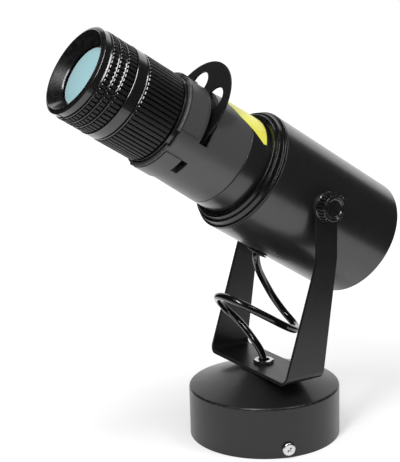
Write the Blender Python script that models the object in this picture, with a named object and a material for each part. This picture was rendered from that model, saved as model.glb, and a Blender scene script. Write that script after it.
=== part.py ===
"""Pinspot light: a round canopy, a U yoke that pans on it, and a tilting projector head.

Metres, +Z up. The origin is the centre of the canopy's open bottom. The yoke's tilt axis runs along X.
The head is modelled in its own frame, carried by an empty on the tilt axis: local Z is the beam, local Y
is up across the head and local X is the tilt axis. Distances along the beam are called stations.
"""
import bpy
import bmesh
from math import acos, asin, atan2, cos, hypot, pi, radians, sin, sqrt
from mathutils import Matrix, Vector

for old in list(bpy.data.objects):
    bpy.data.objects.remove(old, do_unlink=True)

MM = 0.001
GAP = 0.3 * MM               # clearance between pieces that touch
OVERCUT = 1 * MM             # how far a cutter runs past the face it cuts
LAP = 0.6 * MM               # how far solids that are joined run into each other
EDGE = 0.6 * MM              # small moulded edge
FINE, COARSE, SMALL = 32, 20, 10   # facets round an outer, an inner and a small turned piece

# Canopy
CANOPY_R = 50 * MM
CANOPY_SIDE = 33.3 * MM      # height of the straight wall
CANOPY_TOP = 45 * MM       # height of the flat that carries the yoke
CANOPY_WALL = 1.5 * MM
CANOPY_FLAT_R = 15.4 * MM
CANOPY_EDGE = 1.5 * MM       # rounding between wall and cone
SIDE_SCREW_Z = 6.3 * MM
SIDE_SCREW_ANGLE = radians(-17)
SIDE_SCREW_R = 1.7 * MM
SIDE_SCREW_REACH = 1.5 * MM  # thread past the bar's ear
SIDE_HEAD_R = 4.3 * MM
SIDE_HEAD_H = 2.2 * MM
PAN_HEAD = ((0, 0), (1, 0), (1, 0.5), (0.8, 0.85), (0.4, 1), (0, 1))   # shares of head radius and height

# Mounting bar and terminal block
BAR_THICK = 2 * MM
BAR_WIDTH = 16 * MM
BAR_EAR = 12 * MM
BAR_SLOT_W = 4.5 * MM
BAR_SLOT_L = 18 * MM
BAR_SLOT_X = 27 * MM
BLOCK_LENGTH, BLOCK_WIDTH, BLOCK_HEIGHT = 24 * MM, 14 * MM, 12 * MM
WELL_R, WELL_DEPTH = 2 * MM, 7.2 * MM

# Hollow bolt that holds the yoke and lets the cord through
BOLT_R = 4.6 * MM
BOLT_BORE = 3.6 * MM
BOLT_HEX = 12 * MM           # across flats
BOLT_HEAD_H = 1.8 * MM
BOLT_LENGTH = 13 * MM        # below the canopy's flat
NUT_HEX = 14 * MM
NUT_H = 4 * MM
WASHER_R = 8 * MM
WASHER_H = 1 * MM

# Housing
HOUSING_WALL = 1.8 * MM
HOUSING_REAR = -65.2 * MM
HOUSING_FRONT = 39.2 * MM
REAR_EDGE = 1.2 * MM

# Yoke
STRAP = 2 * MM
SPACER_R = 8 * MM
SPACER_H = 1.7 * MM          # between housing and yoke arm
YOKE_BEND = 6 * MM
YOKE_FOOT_FRONT, YOKE_FOOT_BACK = -14.8 * MM, 15.2 * MM
YOKE_END_R = 8.2 * MM
PIVOT_Y = 19 * MM
PIVOT_Z = 157.4 * MM
KNEE_Z, KNEE_FRONT, KNEE_BACK = 123 * MM, 10.8 * MM, 26.8 * MM    # the arms' edges bend here
TILT = radians(32)           # the beam's rise above level at rest

# Thumb knobs
STUD_R = 3 * MM
STUD_HEX = 10 * MM
STUD_HEAD_H = 2.4 * MM
STUD_DEPTH = 9 * MM          # thread inside the housing
KNOB_R = 9.7 * MM
KNOB_LENGTH = 7.8 * MM
KNOB_RIBS = 20
KNOB_RIB_H = 0.7 * MM
KNOB_CREST = 0.6             # flat share of a rib's pitch
KNOB_POCKET = 6.6 * MM
KNOB_FLOOR = 1.6 * MM
KNOB_CAP_SINK = 0.8 * MM     # the cap's face below the knob's edge

# Front cap: it steps out from the neck to the housing, in ridges ahead of the housing's front edge
CAP_STEP = 8.3 * MM
CAP_FLANGE = 1.6 * MM
RIDGE_2_STEP, RIDGE_2_AHEAD = 6.1 * MM, 5.1 * MM
RIDGE_1_STEP, RIDGE_1_AHEAD = 3.8 * MM, 7.3 * MM
RIDGE_EDGE = 0.6 * MM
CAP_SPIGOT, CAP_SPIGOT_WALL = 7 * MM, 2 * MM

# Lens tubes across the beam, from the inside out
SLEEVE_BORE = 24.6 * MM
SLEEVE_WALL = 1.7 * MM
TUBE_WALL = 2 * MM
ZOOM_WALL = 2.6 * MM
COLLAR_ROOM = 2.8 * MM       # between the guide sleeve and the barrel's bore
COLLAR_WALL = 1.8 * MM
BARREL_TAPER = 1.3 * MM
GATE_LEDGE = 1.7 * MM
NECK_WALL = 2 * MM
SLEEVE_R = SLEEVE_BORE + SLEEVE_WALL
TUBE_R = SLEEVE_BORE - GAP
ZOOM_R = SLEEVE_R + GAP + ZOOM_WALL
COLLAR_BORE = SLEEVE_R + COLLAR_ROOM
BARREL_BORE = COLLAR_BORE - GATE_LEDGE
BARREL_TIP_R = COLLAR_BORE + COLLAR_WALL
NECK_R = BARREL_TIP_R + BARREL_TAPER
NECK_BORE = NECK_R - NECK_WALL
HOUSING_R = NECK_R + CAP_STEP
FOCUS_BAND_R = SLEEVE_R + 2.8 * MM
FOCUS_RIB_R = SLEEVE_R + 2.4 * MM
FOCUS_RIM_R = SLEEVE_R + 2.1 * MM

# Neck, barrel and collar along the beam
NECK_FRONT_S = 61.1 * MM
BARREL_LENGTH = 49.9 * MM
BARREL_SPIGOT = 8.7 * MM
BARREL_EDGE = 0.4 * MM
BARREL_REAR = NECK_FRONT_S + GAP
BARREL_FRONT = BARREL_REAR + BARREL_LENGTH
GATE_S = BARREL_FRONT - 27.4 * MM
GATE_THICK = 2 * MM
GATE_APERTURE = 9 * MM
SLOT_REAR = GATE_S + 4.2 * MM
SLOT_WIDTH = 6.7 * MM
SLOT_FRONT = SLOT_REAR + SLOT_WIDTH
SLOT_MARGIN = radians(18)    # past the spot where the wheel leaves the bore
PAD_COUNT = 4
PAD_RISE = 0.9 * MM
PAD_START = radians(35)
PAD_SPAN = radians(60)
PAD_LENGTH = 13.2 * MM
PAD_SETBACK = 1.2 * MM
PAD_REAR = BARREL_FRONT - PAD_SETBACK - PAD_LENGTH
NOTCH_OFFSET, NOTCH_SPAN, NOTCH_DEPTH = radians(4), radians(20), 2.2 * MM
WINDOW_PADS = (1, 2)         # pads with a window behind them
WINDOW_W, WINDOW_RUN_IN = 4.5 * MM, 0.8 * MM
WINDOW_SPAN = radians(20)

# Gobo wheel
WHEEL_R = 32 * MM
WHEEL_UP = 18 * MM           # its pin's height above the beam, also the hole circle's radius
WHEEL_S = SLOT_REAR + 1.8 * MM
WHEEL_THICK = 1.2 * MM
WHEEL_HOLE = 8 * MM
WHEEL_HOLES = 4
WHEEL_TURN = radians(25)
RIVET_R = 1.5 * MM
RIVET_HEAD = 3 * MM
RIVET_CROWN = 1.2 * MM

# Guide sleeve, zoom ring and carriage, focus ring and cell along the beam
SLEEVE_REAR = SLOT_FRONT + 1.6 * MM
SLEEVE_STEP = BARREL_FRONT + 1.6 * MM
ZOOM_REAR = SLEEVE_STEP + 0.9 * MM
ZOOM_LENGTH = 27.8 * MM
ZOOM_RIBS = 40
FOCUS_REAR = ZOOM_REAR + ZOOM_LENGTH + GAP
FOCUS_LENGTH = 30.7 * MM
FOCUS_RIBS = 40
FOCUS_ROWS = ((7 * MM, 14.4 * MM), (15.6 * MM, 19.9 * MM), (21.1 * MM, 25.4 * MM))   # from the ring's rear
FOCUS_EDGE = 0.4 * MM
RIB_DEPTH = 0.8 * MM
RIB_CREST = 0.62             # flat share of a rib's pitch
SLEEVE_FRONT = FOCUS_REAR - 2 * GAP
CELL_FRONT = FOCUS_REAR + 24.3 * MM
CELL_LENGTH = 36.3 * MM
LENS_SEAT = 4.4 * MM         # depth of the front lens's pocket
LENS_SEAT_STEP = 1 * MM
FRONT_LENS_EDGE, FRONT_LENS_DOME = 2.5 * MM, 1.4 * MM
CARRIAGE_REAR = SLEEVE_REAR + 1.5 * MM
CARRIAGE_LENGTH = 16 * MM
REAR_LENS_EDGE, REAR_LENS_DOME = 4 * MM, 2 * MM
HOOD_WALL = 2.3 * MM         # from the rim's outside to the hood's
HOOD_LIP = 0.5 * MM
HOOD_DEPTH = 5.3 * MM        # from the rim back to the hood's inner edge
HOOD_STEPS = 2
HOOD_STEP_H = 0.4 * MM
GLASS_SEEN_R = 18.7 * MM

# Light source
SINK_REAR, SINK_FRONT, SINK_BASE = -18 * MM, 18 * MM, 6 * MM
FIN_PITCH, FIN_THICK, FIN_COUNT = 9.5 * MM, 2 * MM, 7
SINK_FLAT = 33 * MM          # chord cut off below, where the cord comes in
BOSS_R = 7 * MM              # bosses that run from the outermost fins to the housing
BOARD_R, BOARD_THICK = 14 * MM, 1.6 * MM
BOARD_SCREW_AT, BOARD_HOLE = 10 * MM, 1.5 * MM
BOARD_SCREW_R, BOARD_HEAD_R, BOARD_HEAD_H = 1.2 * MM, 2.4 * MM, 1.5 * MM
CHIP_R, CHIP_H = 6 * MM, 0.8 * MM
REFLECTOR_WALL = 1 * MM
REFLECTOR_BRIM, REFLECTOR_BRIM_H = 2.9 * MM, 1.5 * MM
CONDENSER_EDGE, CONDENSER_DOME, CONDENSER_BORDER = 2.4 * MM, 6 * MM, 3 * MM

# Rear cover, fan and driver
COVER_THICK = 2 * MM
COVER_SKIRT = 8 * MM
COVER_SKIRT_WALL = 1.6 * MM
COVER_INSET = 1.5 * MM
VENT_ROWS = ((12 * MM, 3), (20 * MM, 6))    # radius and number of slots
VENT_WIDTH, VENT_SHARE = 3.2 * MM, 0.73     # share of the circle that is open
FAN_HALF, FAN_DEPTH, FAN_BACK = 25 * MM, 12 * MM, 2 * MM
FAN_BORE = 23.5 * MM
FAN_STRUT = 3 * MM
FAN_STRUTS = 3
FAN_SCREW_AT = 20.5 * MM
FAN_SCREW_R, FAN_SCREW_L, FAN_PILOT, FAN_PILOT_L = 1.2 * MM, 6 * MM, 1.5 * MM, 8 * MM
FAN_HEAD_R, FAN_HEAD_H, COVER_HOLE = 2.6 * MM, 1.2 * MM, 1.8 * MM
ROTOR_R, ROTOR_HUB = 22.5 * MM, 10 * MM
ROTOR_PIN_R, ROTOR_PIN_L = 1 * MM, 1.2 * MM
BLADES, BLADE_THICK, BLADE_LEAN = 7, 1.2 * MM, radians(38)
DRIVER_WIDTH, DRIVER_HEIGHT, DRIVER_ROOM = 36 * MM, 18 * MM, 6 * MM

# Cord and its grommet
CORD_R = 2.5 * MM
CORD_STEP = 4 * CORD_R
CORD_HOLE_S = -1.7 * MM
CORD_HOLE_TURN = radians(-5.7)      # round the beam from straight below, towards the left
GROMMET_BORE = 3.9 * MM
GROMMET_R = 5.2 * MM
GROMMET_FLANGE, GROMMET_FLANGE_H, GROMMET_LIP_H = 7 * MM, 0.7 * MM, 1.3 * MM

# Sizes worked out from those above
PLATE_Z = CANOPY_TOP + GAP
HOUSING_BORE = HOUSING_R - HOUSING_WALL
SPIGOT_R = HOUSING_BORE - GAP
ARM_IN = HOUSING_R + SPACER_H + 2 * GAP
YOKE_HALF = ARM_IN + STRAP
EAR_X = sqrt((CANOPY_R - CANOPY_WALL - GAP) ** 2 - (BAR_WIDTH / 2) ** 2)
WHEEL_LEAVES = acos((COLLAR_BORE ** 2 + WHEEL_UP ** 2 - WHEEL_R ** 2) / (2 * COLLAR_BORE * WHEEL_UP))
SLOT_HALF_ANGLE = WHEEL_LEAVES + SLOT_MARGIN

BLACK = ((0.012, 0.012, 0.013), 0.45, 0.0)
POWDER = ((0.02, 0.02, 0.021), 0.55, 0.0)
GREY = ((0.055, 0.055, 0.058), 0.5, 0.0)
RUBBER = ((0.01, 0.01, 0.01), 0.75, 0.0)
STEEL = ((0.62, 0.62, 0.63), 0.25, 1.0)
ALUMINIUM = ((0.72, 0.73, 0.74), 0.35, 1.0)
GLASS = ((0.62, 0.86, 0.9), 0.05, 0.0)
WHITE = ((0.8, 0.8, 0.78), 0.5, 0.0)
PHOSPHOR = ((0.9, 0.72, 0.12), 0.6, 0.0)


def finish(name, look):
    colour, roughness, metallic = look
    material = bpy.data.materials.new(name)
    material.use_nodes = True
    shader = material.node_tree.nodes["Principled BSDF"]
    shader.inputs["Base Color"].default_value = (*colour, 1)
    shader.inputs["Roughness"].default_value = roughness
    shader.inputs["Metallic"].default_value = metallic
    return material


def empty(name, location, rotation=(0, 0, 0), parent=None):
    holder = bpy.data.objects.new(name, None)
    bpy.context.scene.collection.objects.link(holder)
    holder.location = location
    holder.rotation_euler = rotation
    holder.parent = parent
    return holder


def add(name, bm, look=BLACK, parent=None, location=(0, 0, 0), rotation=(0, 0, 0), sharp=35):
    """Turn a bmesh into a named object; without a look it is a hidden cutter."""
    bmesh.ops.remove_doubles(bm, verts=bm.verts, dist=0.002 * MM)
    bmesh.ops.recalc_face_normals(bm, faces=bm.faces)
    mesh = bpy.data.meshes.new(name)
    bm.to_mesh(mesh)
    bm.free()
    mesh.shade_smooth()
    mesh.set_sharp_from_angle(angle=radians(sharp))
    piece = bpy.data.objects.new(name, mesh)
    bpy.context.scene.collection.objects.link(piece)
    piece.parent = parent
    piece.location = location
    piece.rotation_euler = rotation
    if look:
        mesh.materials.append(finish(name, look))
    else:
        piece.hide_render = True
        piece.display_type = "WIRE"
    return piece


def boolean(piece, other, operation="DIFFERENCE"):
    step = piece.modifiers.new(operation.title(), "BOOLEAN")
    step.operation = operation
    step.object = other
    step.solver = "EXACT"
    other.hide_render = True
    other.display_type = "WIRE"


def turned(profile, facets=FINE):
    """Solid turned round local Z from a closed outline of radius and height."""
    bm = bmesh.new()
    corners = [bm.verts.new((r, 0, z)) for r, z in profile]
    edges = [bm.edges.new((corners[i - 1], corners[i])) for i in range(len(corners))]
    bmesh.ops.spin(bm, geom=corners + edges, axis=(0, 0, 1), cent=(0, 0, 0), angle=2 * pi,
                   steps=facets, use_merge=True)
    bmesh.ops.remove_doubles(bm, verts=bm.verts, dist=0.002 * MM)
    on_axis = [e for e in bm.edges if all(hypot(v.co.x, v.co.y) < 0.001 * MM for v in e.verts)]
    bmesh.ops.delete(bm, geom=on_axis, context="EDGES")
    return bm


def prism(outline, low, high):
    """Solid with the outline in local XY, from height low to height high."""
    bm = bmesh.new()
    face = bm.faces.new([bm.verts.new((x, y, low)) for x, y in outline])
    top = bmesh.ops.extrude_face_region(bm, geom=[face])
    raised = [g for g in top["geom"] if isinstance(g, bmesh.types.BMVert)]
    bmesh.ops.translate(bm, verts=raised, vec=(0, 0, high - low))
    return bm


def box(x0, x1, y0, y1, z0, z1, rounding=0.0):
    bm = prism([(x0, y0), (x1, y0), (x1, y1), (x0, y1)], z0, z1)
    if rounding:
        bmesh.ops.bevel(bm, geom=list(bm.edges), offset=rounding, offset_type="OFFSET", segments=1,
                        profile=0.5, affect="EDGES", clamp_overlap=True, material=-1)
    return bm


def arc(cx, cy, radius, start, end, steps):
    return [(cx + radius * cos(start + (end - start) * i / steps),
             cy + radius * sin(start + (end - start) * i / steps)) for i in range(steps + 1)]


def circle(radius, facets, cx=0.0, cy=0.0):
    return arc(cx, cy, radius, 0, 2 * pi, facets)[:-1]


def ring(outer, inner, low, high, facets=COARSE):
    return turned([(outer, low), (outer, high), (inner, high), (inner, low)], facets)


def rod(radius, low, high, facets=COARSE):
    return prism(circle(radius, facets), low, high)


def merged(*solids):
    """Several closed bmeshes in one, for cutters that don't touch each other."""
    joined = bmesh.new()
    for solid in solids:
        mesh = bpy.data.meshes.new("solid")
        solid.to_mesh(mesh)
        solid.free()
        joined.from_mesh(mesh)
        bpy.data.meshes.remove(mesh)
    return joined


def moved(solid, location=(0, 0, 0), turn=0.0, axis="Z"):
    bmesh.ops.transform(solid, matrix=Matrix.Translation(location) @ Matrix.Rotation(turn, 4, axis),
                        verts=solid.verts)
    return solid


def ribbed(ribs, stations):
    """Ring with flat-topped ribs and V grooves, from a closed run of sections (height, radius, root radius).

    A section with no root radius is plain and has one corner at each groove; the others have three a rib.
    """
    bm = bmesh.new()
    pitch = 2 * pi / ribs
    sections = []
    for height, radius, root in stations:
        corners = []
        for i in range(ribs):
            spots = [(root or radius, -0.5)]
            if root:
                spots += [(radius, -RIB_CREST / 2), (radius, RIB_CREST / 2)]
            for r, at in spots:
                angle = (i + at) * pitch
                corners.append(bm.verts.new((r * cos(angle), r * sin(angle), height)))
        sections.append(corners)
    for here, there in zip(sections, sections[1:] + sections[:1]):
        a, b = len(here) // ribs, len(there) // ribs
        for i in range(ribs):
            if a == b:
                for k in range(a):
                    m, n = i * a + k, (i * a + k + 1) % len(here)
                    bm.faces.new((here[m], here[n], there[n], there[m]))
            else:
                lower = [here[(i * a + k) % len(here)] for k in range(a + 1)]
                upper = [there[(i * b + k) % len(there)] for k in range(b + 1)]
                bm.faces.new(lower + upper[::-1])
    return bm


def hexagon(across, low, high):
    return prism(circle(across / sqrt(3), 6), low, high)


def make_canopy():
    slope = atan2(CANOPY_TOP - CANOPY_SIDE, CANOPY_R - CANOPY_FLAT_R)
    edge_c = (CANOPY_R - CANOPY_EDGE, CANOPY_SIDE - CANOPY_EDGE)
    outer = [(CANOPY_R, 0)] + arc(*edge_c, CANOPY_EDGE, 0, pi / 2 - slope, 3) + [(CANOPY_FLAT_R, CANOPY_TOP)]
    drop = CANOPY_WALL / cos(slope)
    bore = BOLT_R + GAP
    inner = [(bore, CANOPY_TOP), (bore, CANOPY_TOP - CANOPY_WALL), (CANOPY_FLAT_R, CANOPY_TOP - CANOPY_WALL),
             (CANOPY_R - CANOPY_WALL, CANOPY_SIDE - drop), (CANOPY_R - CANOPY_WALL, 0)]
    canopy = add("canopy", turned(outer + inner), POWDER)
    turn = (0, 0, SIDE_SCREW_ANGLE)
    holes = [moved(rod(SIDE_SCREW_R + GAP, EAR_X - BAR_THICK - OVERCUT, CANOPY_R + OVERCUT, SMALL),
                   turn=side * pi / 2, axis="Y") for side in (1, -1)]
    cutter = add("canopy_screw_holes", merged(*holes), None, location=(0, 0, SIDE_SCREW_Z), rotation=turn)
    boolean(canopy, cutter)

    flat = box(-EAR_X, EAR_X, -BAR_WIDTH / 2, BAR_WIDTH / 2, 0, BAR_EAR)
    bar = add("mounting_bar", flat, STEEL, rotation=turn)
    room = box(-EAR_X + BAR_THICK, EAR_X - BAR_THICK, -BAR_WIDTH, BAR_WIDTH, BAR_THICK, 2 * BAR_EAR)
    boolean(bar, add("bar_room", room, None, rotation=turn))
    slots = []
    for side in (-1, 1):
        straight = (BAR_SLOT_L - BAR_SLOT_W) / 2
        ends = [arc(side * BAR_SLOT_X + straight, 0, BAR_SLOT_W / 2, -pi / 2, pi / 2, 6),
                arc(side * BAR_SLOT_X - straight, 0, BAR_SLOT_W / 2, pi / 2, 3 * pi / 2, 6)]
        slots.append(prism(ends[0] + ends[1], -BAR_THICK, 2 * BAR_THICK))
    boolean(bar, add("bar_slots", merged(*slots), None, rotation=turn))
    boolean(bar, cutter_copy(cutter, "bar_screw_holes"))

    for number, side in enumerate((1, -1), 1):
        start = CANOPY_R + GAP
        shank = rod(SIDE_SCREW_R, EAR_X - BAR_THICK - SIDE_SCREW_REACH, start + LAP, SMALL)
        screw = add(f"canopy_screw_{number}", moved(shank, turn=side * pi / 2, axis="Y"), STEEL,
                    location=(0, 0, SIDE_SCREW_Z), rotation=turn)
        dome = [(r * SIDE_HEAD_R, start + h * SIDE_HEAD_H) for r, h in PAN_HEAD]
        head = add(f"canopy_screw_head_{number}", moved(turned(dome, SMALL), turn=side * pi / 2, axis="Y"),
                   None, location=(0, 0, SIDE_SCREW_Z), rotation=turn)
        boolean(screw, head, "UNION")

    base = BAR_THICK + GAP
    top = base + BLOCK_HEIGHT
    solid = box(-BLOCK_LENGTH / 2, BLOCK_LENGTH / 2, -BLOCK_WIDTH / 2, BLOCK_WIDTH / 2, base, top, EDGE)
    block = add("terminal_block", solid, WHITE, rotation=turn)
    wells = [moved(rod(WELL_R, top - WELL_DEPTH, top + OVERCUT, SMALL), (side * BLOCK_LENGTH / 3, 0, 0))
             for side in (-1, 1)]
    boolean(block, add("terminal_wells", merged(*wells), None, rotation=turn))


def cutter_copy(cutter, name):
    twin = cutter.copy()
    twin.name = name
    bpy.context.scene.collection.objects.link(twin)
    return twin


def make_bolt():
    top = PLATE_Z + STRAP + GAP
    bottom = CANOPY_TOP - BOLT_LENGTH
    bolt = add("hollow_bolt", rod(BOLT_R, bottom, top + LAP, 16), STEEL)
    boolean(bolt, add("bolt_head", hexagon(BOLT_HEX, top, top + BOLT_HEAD_H), None), "UNION")
    boolean(bolt, add("bolt_bore", rod(BOLT_BORE, bottom - OVERCUT, top + BOLT_HEAD_H + OVERCUT, 16), None))
    under = CANOPY_TOP - CANOPY_WALL - GAP
    add("lock_washer", ring(WASHER_R, BOLT_R + GAP, under - WASHER_H, under, 16), STEEL)
    nut_top = under - WASHER_H - GAP
    nut = add("lower_nut", hexagon(NUT_HEX, nut_top - NUT_H, nut_top), STEEL)
    boolean(nut, add("nut_bore", rod(BOLT_R + GAP, nut_top - NUT_H - OVERCUT, nut_top + OVERCUT, 16), None))


def make_yoke(pan):
    """A U of flat strap, cut to the side view: wide at the foot, leaning back, round at the pivots."""
    inner_bend = YOKE_BEND - STRAP
    reach = PIVOT_Z + YOKE_END_R + OVERCUT
    half = PIVOT_Y + YOKE_END_R + 2 * OVERCUT
    left = arc(-YOKE_HALF + YOKE_BEND, PLATE_Z + YOKE_BEND, YOKE_BEND, pi, 1.5 * pi, 5)
    right = arc(YOKE_HALF - YOKE_BEND, PLATE_Z + YOKE_BEND, YOKE_BEND, 1.5 * pi, 2 * pi, 5)
    inner_right = arc(YOKE_HALF - YOKE_BEND, PLATE_Z + YOKE_BEND, inner_bend, 2 * pi, 1.5 * pi, 5)
    inner_left = arc(-YOKE_HALF + YOKE_BEND, PLATE_Z + YOKE_BEND, inner_bend, 1.5 * pi, pi, 5)
    channel = ([(-YOKE_HALF, reach)] + left + right + [(YOKE_HALF, reach), (ARM_IN, reach)]
               + inner_right + inner_left + [(-ARM_IN, reach)])
    strip = moved(prism(channel, -half, half), turn=pi / 2, axis="X")
    yoke = add("yoke", strip, POWDER, pan)

    round_end = arc(PIVOT_Y, PIVOT_Z, YOKE_END_R, 0, pi, 12)
    side = ([(YOKE_FOOT_FRONT, PLATE_Z - OVERCUT), (YOKE_FOOT_BACK, PLATE_Z - OVERCUT), (KNEE_BACK, KNEE_Z)]
            + round_end + [(KNEE_FRONT, KNEE_Z)])
    view = prism(side, -YOKE_HALF - OVERCUT, YOKE_HALF + OVERCUT)
    bmesh.ops.transform(view, matrix=Matrix(((0, 0, 1, 0), (1, 0, 0, 0), (0, 1, 0, 0), (0, 0, 0, 1))),
                        verts=view.verts)
    boolean(yoke, add("yoke_side_view", view, None, pan), "INTERSECT")
    across = rod(STUD_R + GAP, -YOKE_HALF - OVERCUT, YOKE_HALF + OVERCUT, 16)
    pivot = moved(across, (0, PIVOT_Y, PIVOT_Z), pi / 2, "Y")
    seat = rod(BOLT_R + GAP, PLATE_Z - OVERCUT, PLATE_Z + STRAP + OVERCUT, 16)
    boolean(yoke, add("yoke_holes", merged(pivot, seat), None, pan))


def make_knob(side, label, head):
    """Thumb knob moulded round the head of its stud, closed by a round cap."""
    start = YOKE_HALF + GAP
    holder = empty(f"knob_axis_{label}", (0, 0, 0), (0, side * pi / 2, 0), head)
    outline = []
    pitch = 2 * pi / KNOB_RIBS
    for i in range(KNOB_RIBS):
        for radius, at in ((KNOB_R, -KNOB_CREST / 2), (KNOB_R, KNOB_CREST / 2), (KNOB_R - KNOB_RIB_H, 0.5)):
            outline.append((radius * cos((i + at) * pitch), radius * sin((i + at) * pitch)))
    knob = add(f"thumb_knob_{label}", prism(outline, start, start + KNOB_LENGTH), BLACK, holder)
    top = start + KNOB_LENGTH
    floor = start + KNOB_FLOOR
    hollow = turned([(0, start - OVERCUT), (STUD_R + GAP, start - OVERCUT), (STUD_R + GAP, floor),
                     (KNOB_POCKET, floor), (KNOB_POCKET, top + OVERCUT), (0, top + OVERCUT)], 16)
    boolean(knob, add(f"knob_hollow_{label}", hollow, None, holder))
    seat = floor + GAP
    stud = add(f"pivot_stud_{label}", rod(STUD_R, SPIGOT_R - STUD_DEPTH, seat + LAP, 16), STEEL, holder)
    hex_head = hexagon(STUD_HEX, seat, seat + STUD_HEAD_H)
    boolean(stud, add(f"stud_head_{label}", hex_head, None, holder), "UNION")
    cap_low = seat + STUD_HEAD_H + GAP
    cap_r, cap_top = KNOB_POCKET - GAP, top - KNOB_CAP_SINK
    cap = turned([(0, cap_low), (cap_r, cap_low), (cap_r, cap_top - EDGE), (cap_r - EDGE, cap_top),
                  (0, cap_top)], 16)
    add(f"knob_cap_{label}", cap, BLACK, holder)
    spacer = ring(SPACER_R, STUD_R + GAP, HOUSING_R + GAP, ARM_IN - GAP, 16)
    add(f"pivot_spacer_{label}", spacer, RUBBER, empty(f"spacer_axis_{label}", (0, 0, 0),
                                                       (0, side * pi / 2, 0), head))


def make_housing(head):
    """Tube of the rear body, with the pivot holes at its sides and the cord hole below."""
    wall = [(HOUSING_BORE, HOUSING_REAR), (HOUSING_BORE, HOUSING_FRONT), (HOUSING_R, HOUSING_FRONT)]
    edge = arc(HOUSING_R - REAR_EDGE, HOUSING_REAR + REAR_EDGE, REAR_EDGE, 0, -pi / 2, 3)
    housing = add("housing", turned(wall + edge), BLACK, head)
    across = rod(STUD_R + GAP, -HOUSING_R - OVERCUT, HOUSING_R + OVERCUT, 16)
    pivots = moved(across, turn=pi / 2, axis="Y")
    boolean(housing, add("pivot_holes", pivots, None, head))
    inlet = empty("cord_inlet", (0, 0, CORD_HOLE_S), (pi / 2, 0, CORD_HOLE_TURN), head)
    through = rod(GROMMET_R + GAP, HOUSING_BORE - 2 * OVERCUT, HOUSING_R + OVERCUT, 16)
    boolean(housing, add("cord_hole", through, None, inlet))

    bore = NECK_R + GAP
    wall = SPIGOT_R - CAP_SPIGOT_WALL
    rear = HOUSING_FRONT - CAP_SPIGOT
    low = HOUSING_FRONT + GAP
    edge_s = HOUSING_FRONT + CAP_FLANGE
    r2, s2 = NECK_R + RIDGE_2_STEP, HOUSING_FRONT + RIDGE_2_AHEAD
    r1, s1 = NECK_R + RIDGE_1_STEP, HOUSING_FRONT + RIDGE_1_AHEAD
    profile = [(bore, s1), (bore, low), (wall, low), (wall, rear), (SPIGOT_R, rear), (SPIGOT_R, low),
               (HOUSING_R, low), (HOUSING_R, edge_s), (r2 + RIDGE_EDGE, edge_s + RIDGE_EDGE), (r2, s2),
               (r1 + RIDGE_EDGE, s2), (r1, s1)]
    add("front_cap", turned(profile), BLACK, head)

    add("neck_sleeve", ring(NECK_R, NECK_BORE, SINK_FRONT + GAP, NECK_FRONT_S, FINE), BLACK, head)

    inside = HOUSING_BORE - EDGE
    flange = HOUSING_R + GAP
    rubber = [(GROMMET_BORE, inside), (GROMMET_R, inside), (GROMMET_R, flange), (GROMMET_FLANGE, flange),
              (GROMMET_FLANGE, flange + GROMMET_FLANGE_H), (GROMMET_BORE, flange + GROMMET_LIP_H)]
    add("cord_grommet", turned(rubber, 16), RUBBER, inlet)


def sector(outer, inner, start, span, low, high, steps):
    """Curved block; angles run from local +Y towards +X."""
    angles = [start + span * i / steps for i in range(steps + 1)]
    outline = [(outer * sin(a), outer * cos(a)) for a in angles]
    outline += [(inner * sin(a), inner * cos(a)) for a in reversed(angles)]
    return prism(outline, low, high)


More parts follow.
